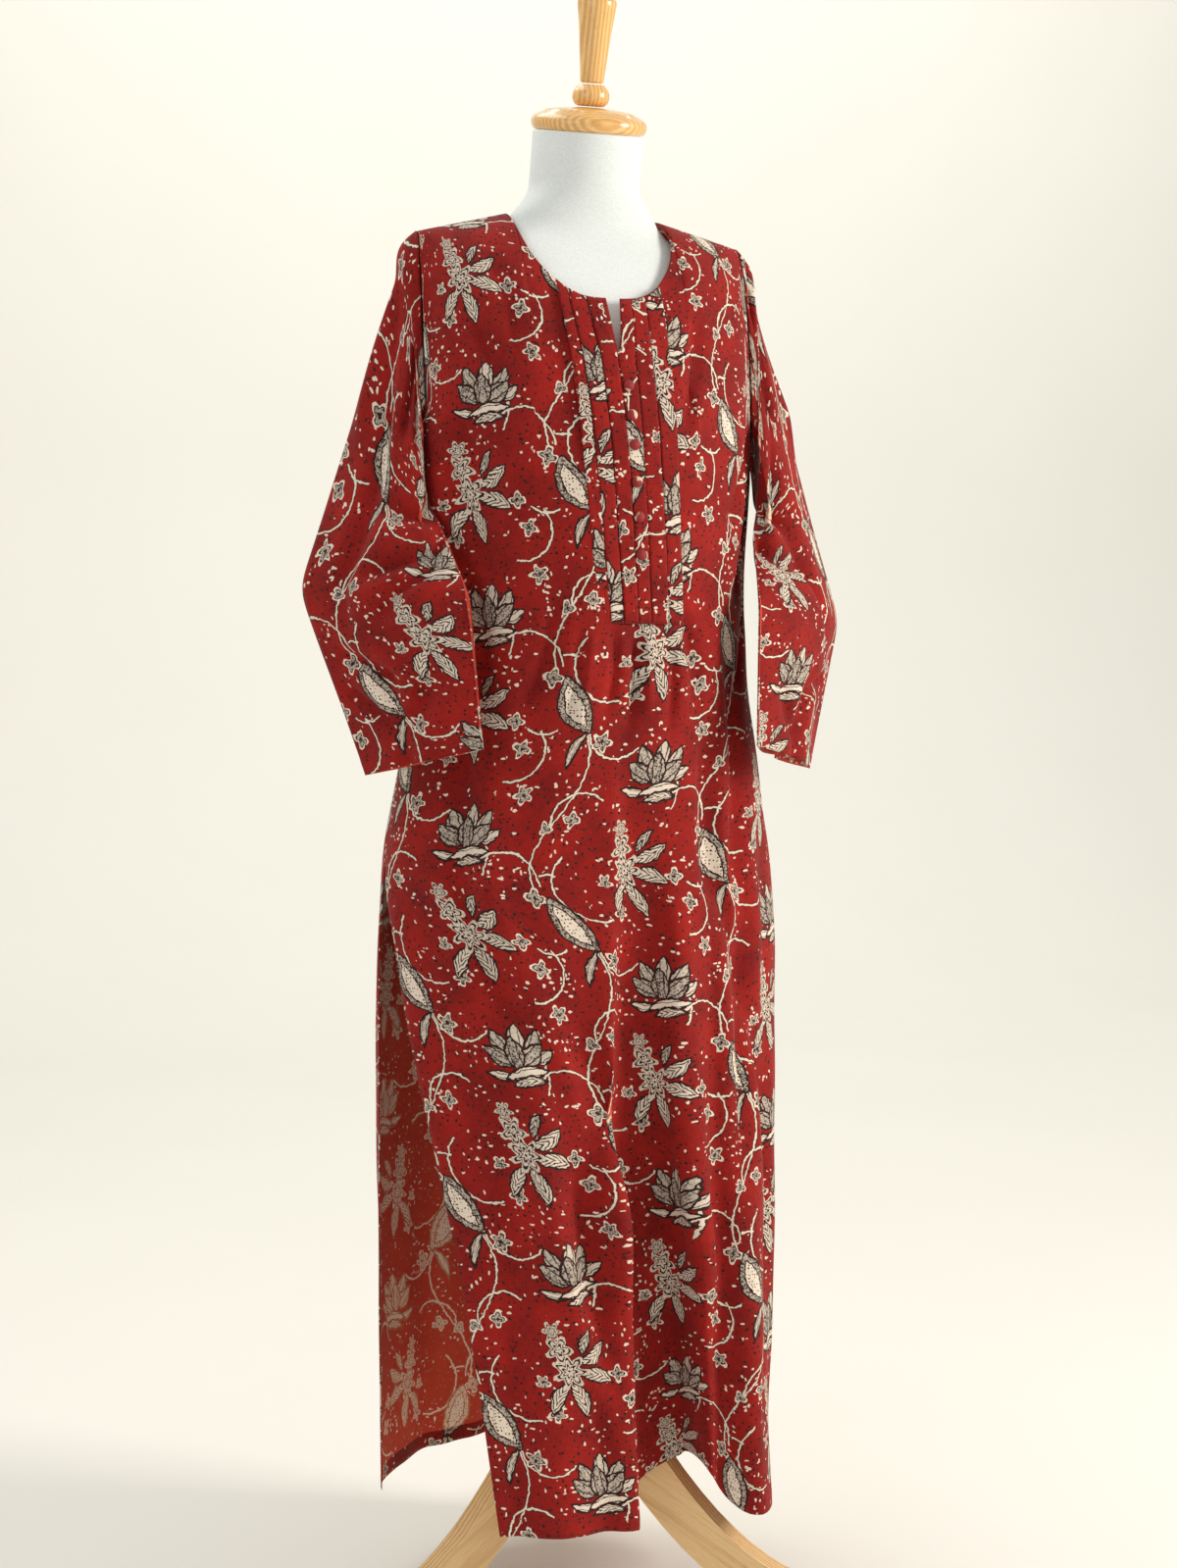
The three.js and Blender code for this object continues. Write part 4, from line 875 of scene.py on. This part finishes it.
for name, sleeve in SLEEVES.items():
    elbow = pressed_ring(*sleeve["elbow"], ELBOW_THICKNESS)
    cuff = pressed_ring(*sleeve["cuff"], CUFF_THICKNESS)
    rings = [armhole]
    for part in np.linspace(0, 1, UPPER_ROWS + 1)[1:]:
        rings.append(clear_of_body(armhole + (elbow - armhole) * part))
    for part in np.linspace(0, 1, LOWER_ROWS + 1)[1:]:
        rings.append(clear_of_body(elbow + (cuff - elbow) * part))
    rings = blur_rows(np.array(rings), 24, 1000)
    half_way = SLEEVE_SIDES // 2
    order = np.concatenate([np.arange(half_way, SLEEVE_SIDES), np.arange(0, half_way + 1)])
    turn_part = np.concatenate([np.arange(half_way, SLEEVE_SIDES) - SLEEVE_SIDES, np.arange(0, half_way + 1)])
    grid = rings[:, order]
    around = np.linalg.norm(np.diff(grid, axis=1), axis=2).sum(axis=1)
    u = turn_part[None, :] / SLEEVE_SIDES * around[:, None]
    step = np.linalg.norm(np.diff(rings.mean(axis=1), axis=0), axis=1)
    v = -np.concatenate([[0], np.cumsum(step)])[:, None] + 0 * u
    inward = SLEEVE_CREASING * crease_depth(u, v, sleeve["creases"])
    inward += hand_wave(u + 19, v - 60, SLEEVE_WAVE)
    inward *= np.clip(-v / 14, 0, 1) * np.clip((u - u[:, :1]) / 8, 0, 1) * np.clip((u[:, -1:] - u) / 8, 0, 1)
    cuff_v = v[-1, 0]
    grid = grid + grid_normals(grid) * (hem_step(v, cuff_v) - inward)[..., None]
    grid[..., 0] *= sleeve["side"]
    seam_line(grid, -6, slice(1, -1), sleeve["side"])
    sleeve_numbers = np.arange(grid.shape[0] * grid.shape[1]).reshape(grid.shape[:2])
    quads = grid_quads(sleeve_numbers if sleeve["side"] > 0 else sleeve_numbers[:, ::-1])
    place = np.stack([u * sleeve["side"] * -1 + sleeve["shift"][0], v + sleeve["shift"][1]], 2)
    piece = cloth_shell("kurta_" + name, grid.reshape(-1, 3), quads, place.reshape(-1, 2),
                        [right_side, wrong_side_with_painted_light])
    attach(piece, "root")
    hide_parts(name)

# ---------------------------------------------------------------- stitching
# One row of machine stitches, in red cotton thread a little darker than the ground, holds each hem,
# the turned edges of the side slit and the neck, and the lower end of the tucks.
STITCH_PITCH, STITCH_LENGTH, STITCH_WIDTH, STITCH_RISE = 3.1, 2.3, 0.55, 0.3
end_x = np.linspace(TUCK_FOLDS[0][1], TUCK_FOLDS[-1][1], 40)
end_z = np.full(40, TUCK_END_Z + 1.5)
end_out = front_facing(end_x, end_z)
seam_lines.append((front_place(end_x, end_z) + end_out * 2.1, end_out))

# Twisted three-ply cotton thread: matt, with its ply drawn as a fine unevenness of colour.
sewing_thread, tree = new_finish("twisted_cotton_thread")
spot = add(tree, "TexCoord").outputs[3]
ply = add(tree, "TexNoise", {"Vector": spot, "Scale": 2200.0, "Detail": 1.0})
base = add(tree, "Mix", {0: ply, 6: paint("#5c0e0e"), 7: paint("#8f1b17")}, data_type="RGBA")
shader = add(
    tree, "BsdfPrincipled",
    {"Base Color": base.outputs[2], "Roughness": 0.7, "IOR": 1.5, "Sheen Weight": 0.05},
)
add(tree, "OutputMaterial", [shader])

points, quads = [], []
for line, out in seam_lines:
    reach = np.concatenate([[0], np.cumsum(np.linalg.norm(np.diff(line, axis=0), axis=1))])
    for start in np.arange(1, reach[-1] - STITCH_PITCH, STITCH_PITCH):
        ends = np.array([start, start + STITCH_LENGTH])
        places = np.stack([np.interp(ends, reach, line[:, k]) for k in range(3)], 1)
        facing = np.array([np.interp(start, reach, out[:, k]) for k in range(3)])
        facing /= np.linalg.norm(facing)
        side = np.cross(facing, places[1] - places[0])
        side *= STITCH_WIDTH / 2 / np.linalg.norm(side)
        low = [places[0] - side, places[1] - side, places[1] + side, places[0] + side]
        inset = (places[1] - places[0]) * 0.18
        high = [
            place * 0.55 + centre * 0.45 + shift + facing * STITCH_RISE
            for place, centre, shift in zip(
                low, places[[0, 1, 1, 0]], (inset, -inset, -inset, inset)
            )
        ]
        first = len(points)
        points += [place - facing * 0.15 for place in low] + high
        quads += [
            [first + a, first + b, first + c, first + d]
            for a, b, c, d in (
                (3, 2, 1, 0), (4, 5, 6, 7), (0, 1, 5, 4), (1, 2, 6, 5), (2, 3, 7, 6), (3, 0, 4, 7)
            )
        ]
thread = body_mesh("machine_stitches", np.array(points), np.array(quads), [sewing_thread])
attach(thread, "root")

# ---------------------------------------------------------------- covered form
# A limbless dressmaker's form: a moulded body padded and covered in a pale grey-white cotton jersey,
# drawn smooth and tight, with the cover's edge hidden under the wooden cap of the neck.
FORM = {
    "z": (603, 640, 720, 810, 900, 975, 1060, 1130, 1190, 1250, 1300, 1330, 1352, 1368, 1381, 1393, 1402),
    "half": (172, 178, 176, 164, 140, 130, 150, 160, 162, 160, 158, 152, 134, 97, 79, 74, 63),
    "front": (98, 103, 106, 106, 100, 100, 116, 128, 126, 115, 98, 80, 65, 53, 49, 50, 52),
    "back": (98, 103, 104, 94, 80, 76, 80, 86, 86, 80, 70, 62, 54, 48, 45, 47, 51),
    "middle": (8, 8, 8, 8, 8, 8, 8, 8, 8, 8, 8, 8, 6, 3, 0, -3, -5),
}
FORM_SIDES = 96
NECK_RADIUS, NECK_BASE_Z, NECK_TOP_Z = 55.0, 1412.0, 1471.0
NECK_BASE_Y, NECK_TOP_Y = -7.0, -23.0
NECK_TILT = 13.0

angle = np.linspace(0, 2 * np.pi, FORM_SIDES, endpoint=False)
rings = []
form_heights = np.concatenate([np.linspace(603, 1330, 110), np.linspace(1332, 1402, 36)])
for z in form_heights:
    depth = np.where(np.sin(angle) < 0, read(FORM, z, "front"), read(FORM, z, "back"))
    rings.append(np.stack([
        read(FORM, z, "half") * np.cos(angle), read(FORM, z, "middle") + depth * np.sin(angle), z + 0 * angle
    ], 1))
for part in np.linspace(0, 1, 30):
    tilt = math.radians(NECK_TILT * part)
    z = NECK_BASE_Z + (NECK_TOP_Z - NECK_BASE_Z) * part
    y = NECK_BASE_Y + (NECK_TOP_Y - NECK_BASE_Y) * part
    across = NECK_RADIUS * np.sin(angle)
    rings.append(np.stack([
        NECK_RADIUS * np.cos(angle), y + across * math.cos(tilt), z + across * math.sin(tilt)
    ], 1))
rings = np.array(rings)
for _ in range(14):
    rings[1:-1] = 0.25 * rings[:-2] + 0.5 * rings[1:-1] + 0.25 * rings[2:]
form_numbers = np.arange(rings.shape[0] * FORM_SIDES).reshape(rings.shape[:2])
form_numbers = np.concatenate([form_numbers, form_numbers[:, :1]], 1)

# Close-knit cotton jersey in a cool off-white: fine wales 0.9 mm apart, drawn at 1.3 mm, matt, with
# the faint grey shading of years of pins and handling.
form_cover, tree = new_finish("cotton_jersey_cover")
spot = add(tree, "TexCoord").outputs[3]
wales = add(tree, "TexWave", {"Vector": spot, "Scale": 240.0, "Distortion": 1.2, "Detail": 2.0},
            wave_type="BANDS", bands_direction="Z")
knit = add(tree, "TexNoise", {"Vector": spot, "Scale": 700.0, "Detail": 2.0})
handled = add(tree, "TexNoise", {"Vector": spot, "Scale": 9.0, "Detail": 3.0})
surface = add(tree, "Math", [wales.outputs[1], 0.3, knit], operation="MULTIPLY_ADD")
base = add(tree, "Mix", {0: handled, 6: paint("#f0f7f6"), 7: paint("#e4ebea")}, data_type="RGBA")
flecks = add(tree, "MapRange", [knit, 0.35, 0.75, 0.0, 0.35])
base = add(tree, "Mix", {0: flecks, 6: base.outputs[2], 7: paint("#b9beba")}, data_type="RGBA")
relief = add(tree, "Bump", {"Strength": 0.25, "Distance": 0.0003, "Height": surface})
shader = add(
    tree, "BsdfPrincipled",
    {"Base Color": base.outputs[2], "Roughness": 0.8, "IOR": 1.46, "Normal": relief, "Sheen Weight": 0.08},
)
add(tree, "OutputMaterial", [shader])

ends = [form_numbers[0, :-1][::-1].tolist(), form_numbers[-1, :-1].tolist()]
form = body_mesh("covered_form", rings.reshape(-1, 3), grid_quads(form_numbers), [form_cover], ends)
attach(form, "root")
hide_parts("form_torso")

# ---------------------------------------------------------------- neck cap and finial
# The neck is closed by a turned cap of pale hardwood with a beaded rim, and on it stand a collar and
# a tapered handle that lifts the form. All are lathe-turned and clear lacquered, leaning with the neck.
CAP = [
    (0, 0), (50, 0), (53.5, 0.6), (55.8, 2.6), (57.2, 6), (57.5, 9), (56.8, 12), (54.6, 14.6), (51, 16.6),
    (46, 18.8), (44, 20.3), (38, 21.8), (28, 23.2), (16, 24.3), (0, 25),
]
COLLAR = [
    (0, 25.4), (12, 25.4), (14.6, 26.4), (17, 28.8), (18.3, 32), (18.5, 35), (18, 38.4), (16.4, 41.6),
    (14, 44.4), (12.4, 46), (0, 47),
]
HANDLE = [
    (0, 47.4), (10.6, 47.4), (11.6, 49), (12, 53), (12.8, 62), (14.2, 76), (15.6, 92), (17.3, 106),
    (18.8, 117), (19.4, 121.4), (19.2, 124), (18, 125.9), (15, 126.8), (0, 127),
]
CAP_LIFT = 0.4
TURNED_SIDES = 72


# Pale close-grained hardwood under clear lacquer: warm honey brown, growth lines 1.5 to 4 mm apart
# running up the turning, small darker flecks, and a tight gloss from the lacquer.
def honey_wood(name, grain_scale, pale, deep, roughness, coat):
    material, tree = new_finish(name)
    grain = add(tree, "Attribute", attribute_name="grain")
    stretched = add(tree, "Mapping", {0: grain.outputs[1], 3: grain_scale})
    drift = add(tree, "TexNoise", {"Vector": stretched, "Scale": 1.0, "Detail": 3.0})
    rings = add(tree, "TexWave", {"Vector": stretched, "Scale": 0.55, "Distortion": 5.0, "Detail": 3.0,
                                  "Detail Scale": 0.7}, bands_direction="X")
    pores = add(tree, "Mapping", {0: grain.outputs[1], 3: [8 * s for s in grain_scale]})
    pores = add(tree, "TexNoise", {"Vector": pores, "Scale": 1.0, "Detail": 2.0})
    tone = add(tree, "Math", [drift, 0.6, rings.outputs[1]], operation="MULTIPLY_ADD")
    tone = add(tree, "MapRange", [tone, 0.35, 1.35, 0.0, 1.0])
    base = add(tree, "Mix", {0: tone, 6: paint(pale), 7: paint(deep)}, data_type="RGBA")
    fleck = add(tree, "MapRange", [pores, 0.58, 0.72, 0.0, 0.45])
    base = add(tree, "Mix", {0: fleck, 6: base.outputs[2], 7: paint("#9a6a35")}, data_type="RGBA")
    relief = add(tree, "Bump", {"Strength": 0.12, "Distance": 0.0003, "Height": pores})
    gloss = add(tree, "MapRange", [drift, 0.3, 0.7, roughness - 0.05, roughness + 0.07])
    shader = add(
        tree, "BsdfPrincipled",
        {"Base Color": base.outputs[2], "Roughness": gloss, "IOR": 1.5, "Normal": relief,
         "Coat Weight": coat, "Coat Roughness": 0.12},
    )
    add(tree, "OutputMaterial", [shader])
    return material


lacquered_wood = honey_wood("lacquered_hardwood", (0.13, 0.13, 0.012), "#f6cb84", "#dca35a", 0.28, 0.7)


def set_grain(piece, vectors):
    """Where each point lies along (z) and across (x, y) the grain, in millimetres."""
    grain = piece.data.attributes.new("grain", "FLOAT_VECTOR", "POINT")
    grain.data.foreach_set("vector", np.asarray(vectors, np.float32).ravel())


lean = math.radians(NECK_TILT)
axis = np.array([0, -math.sin(lean), math.cos(lean)])
origin = np.array([0, NECK_TOP_Y, NECK_TOP_Z]) + axis * CAP_LIFT
for name, profile, node in (
    ("turned_cap", CAP, "neck_cap"), ("turned_collar", COLLAR, "finial_collar"),
    ("turned_handle", HANDLE, "finial_handle"),
):
    rim = [place for place in profile if place[0] > 0]
    points, quads = lathe_turned(rim, TURNED_SIDES, origin, axis)
    last = len(points)
    ends = [range(TURNED_SIDES - 1, -1, -1), range(last - TURNED_SIDES, last)]
    top = body_mesh(name, points, quads, [lacquered_wood], ends)
    local = points - origin
    height = local @ axis
    lengthwise = np.stack([local[:, 0], local[:, 1] - height * axis[1], height], 1)
    if name == "turned_cap":
        lengthwise = lengthwise[:, [1, 2, 0]]
    set_grain(top, lengthwise)
    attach(top, "root")
    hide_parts(node)

# ---------------------------------------------------------------- stand
# Three legs sawn from boards of the same wood, each curved out to a flat foot, are screwed to a
# turned hub that clamps a steel pole. Their arrises are barely eased and their faces oiled to a satin.
LEG_AZIMUTHS = (-70, 50, 170)
ARRIS = 0.0018

stand_wood = honey_wood("oiled_board_wood", (0.1, 0.22, 0.009), "#efcb92", "#d3a268", 0.42, 0.15)

for k, azimuth in enumerate(LEG_AZIMUTHS):
    node = f"stand_leg_{k + 1}"
    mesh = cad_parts[node].data.copy()
    mesh.name = f"curved_leg_{k + 1}"
    leg = bpy.data.objects.new(mesh.name, mesh)
    bpy.context.scene.collection.objects.link(leg)
    weld = leg.modifiers.new("weld", "WELD")
    weld.merge_threshold = 0.00005
    eased = leg.modifiers.new("eased_edges", "BEVEL")
    eased.width = ARRIS
    eased.segments = 2
    eased.limit_method = "ANGLE"
    eased.angle_limit = math.radians(35)
    mesh.materials.clear()
    mesh.materials.append(stand_wood)
    turn = math.radians(azimuth)
    outward = np.array([math.sin(turn), -math.cos(turn), 0])
    sideways = np.array([math.cos(turn), math.sin(turn), 0])
    places = np.array([vertex.co for vertex in mesh.vertices], float)
    local = (places - [STAND.x, STAND.y, 0]) * 1000
    slope = local @ outward
    set_grain(leg, np.stack([local @ sideways + 40 * k, local[:, 2] + slope * 0.55, slope], 1))
    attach(leg, "root")
    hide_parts(node)

# The pole is bright-zinc-plated steel tube, a dull grey metal under the skirt; the hub is the same
# wood as the legs. Both stay as they were packed, with their own finishes.
pole_steel, tree = new_finish("zinc_plated_steel")
spot = add(tree, "TexCoord").outputs[3]
spangle = add(tree, "TexNoise", {"Vector": spot, "Scale": 90.0, "Detail": 3.0})
base = add(tree, "Mix", {0: spangle, 6: paint("#b3b5b6"), 7: paint("#d2d3d2")}, data_type="RGBA")
dull = add(tree, "MapRange", [spangle, 0.3, 0.7, 0.28, 0.42])
shader = add(tree, "BsdfPrincipled", {"Base Color": base.outputs[2], "Metallic": 1.0, "Roughness": dull})
add(tree, "OutputMaterial", [shader])

hub_wood, tree = new_finish("turned_hub_wood")
spot = add(tree, "TexCoord").outputs[3]
stretched = add(tree, "Mapping", {0: spot, 3: (130, 130, 12)})
streak = add(tree, "TexNoise", {"Vector": stretched, "Scale": 1.0, "Detail": 4.0})
base = add(tree, "Mix", {0: streak, 6: paint("#ecc68a"), 7: paint("#c9975a")}, data_type="RGBA")
relief = add(tree, "Bump", {"Strength": 0.1, "Distance": 0.0003, "Height": streak})
shader = add(
    tree, "BsdfPrincipled",
    {"Base Color": base.outputs[2], "Roughness": 0.42, "IOR": 1.5, "Normal": relief},
)
add(tree, "OutputMaterial", [shader])

for node, material in (("stand_pole", pole_steel), ("stand_hub", hub_wood)):
    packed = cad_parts[node]
    packed.data.materials.clear()
    packed.data.materials.append(material)

# ---------------------------------------------------------------- studio
# A plain pale floor that curves up into a pale wall behind, as a paper roll does, with one large soft
# light to the front right, a weaker one to the left, two that wash the paper, and an even glow around.
PAPER_HALF, PAPER_FRONT, PAPER_BACK, PAPER_TOP, PAPER_BEND = 6.5, -5.5, 4.9, 6.5, 1.6

paper, tree = new_finish("cream_paper")
spot = add(tree, "TexCoord").outputs[3]
fibre = add(tree, "TexNoise", {"Vector": spot, "Scale": 2.0, "Detail": 3.0})
base = add(tree, "Mix", {0: fibre, 6: paint("#f4f4ee"), 7: paint("#f0f0ea")}, data_type="RGBA")
shader = add(tree, "BsdfPrincipled", {"Base Color": base.outputs[2], "Roughness": 0.95, "IOR": 1.4})
add(tree, "OutputMaterial", [shader])

bend = [
    (PAPER_BACK - PAPER_BEND + PAPER_BEND * math.sin(a), PAPER_BEND - PAPER_BEND * math.cos(a))
    for a in np.linspace(0, math.pi / 2, 25)
]
profile = [(PAPER_FRONT, 0.0), *bend, (PAPER_BACK, PAPER_TOP)]
corners = [(x, y, z) for y, z in profile for x in (-PAPER_HALF, PAPER_HALF)]
mesh = bpy.data.meshes.new("paper_sweep")
mesh.from_pydata(corners, [], [(2 * k, 2 * k + 1, 2 * k + 3, 2 * k + 2) for k in range(len(profile) - 1)])
sweep = smooth_piece("paper_sweep", mesh, [paper])


def soft_light(name, place, aim, size, watts, colour):
    lamp = bpy.data.lights.new(name, "AREA")
    lamp.shape = "RECTANGLE"
    lamp.size, lamp.size_y = size
    lamp.energy = watts
    lamp.color = paint(colour)[:3]
    light = bpy.data.objects.new(name, lamp)
    light.location = place
    light.rotation_euler = (Vector(aim) - Vector(place)).to_track_quat("-Z", "Y").to_euler()
    bpy.context.scene.collection.objects.link(light)


soft_light("key_softbox", (2.5, -1.7, 1.9), (0, 0, 0.95), (0.8, 1.4), 80, "#fff7ee")
soft_light("fill_softbox", (-2.6, -2.2, 1.5), (0, 0, 0.8), (1.6, 2.0), 16, "#f4f6ff")
soft_light("floor_wash", (-0.8, 0.5, 2.7), (-0.6, 0.4, 0), (2.0, 1.0), 19, "#fffdf8")
soft_light("wall_wash", (1.7, 2.6, 4.4), (1.9, 4.9, 1.3), (5.0, 1.0), 74, "#fffdf8")

world = bpy.data.worlds.new("room_glow")
world.use_nodes = True
world.node_tree.nodes["Background"].inputs[0].default_value = paint("#fffaf2")
world.node_tree.nodes["Background"].inputs[1].default_value = 0.5
bpy.context.scene.world = world
bpy.context.scene.view_settings.view_transform = "Standard"

# The camera stands to the wearer's right of the middle, at about shoulder height, tipped down a little.
CAMERA_AZIMUTH, CAMERA_DISTANCE, CAMERA_HEIGHT = -18.1, 2.4, 0.953
CAMERA_PITCH, CAMERA_YAW = 3.0, -0.238
CAMERA_LENS = 36 * 2420.3 / 1599

turn = math.radians(CAMERA_AZIMUTH)
aim_turn = math.radians(CAMERA_AZIMUTH + CAMERA_YAW)
pitch = math.radians(CAMERA_PITCH)
camera_data = bpy.data.cameras.new("camera")
camera_data.lens = CAMERA_LENS
camera_data.sensor_width = 36
camera = bpy.data.objects.new("camera", camera_data)
camera.location = (
    STAND.x + math.sin(turn) * CAMERA_DISTANCE, STAND.y - math.cos(turn) * CAMERA_DISTANCE, CAMERA_HEIGHT
)
forward = Vector(
    (-math.sin(aim_turn) * math.cos(pitch), math.cos(aim_turn) * math.cos(pitch), -math.sin(pitch))
)
camera.rotation_euler = forward.to_track_quat("-Z", "Y").to_euler()
bpy.context.scene.collection.objects.link(camera)
bpy.context.scene.camera = camera
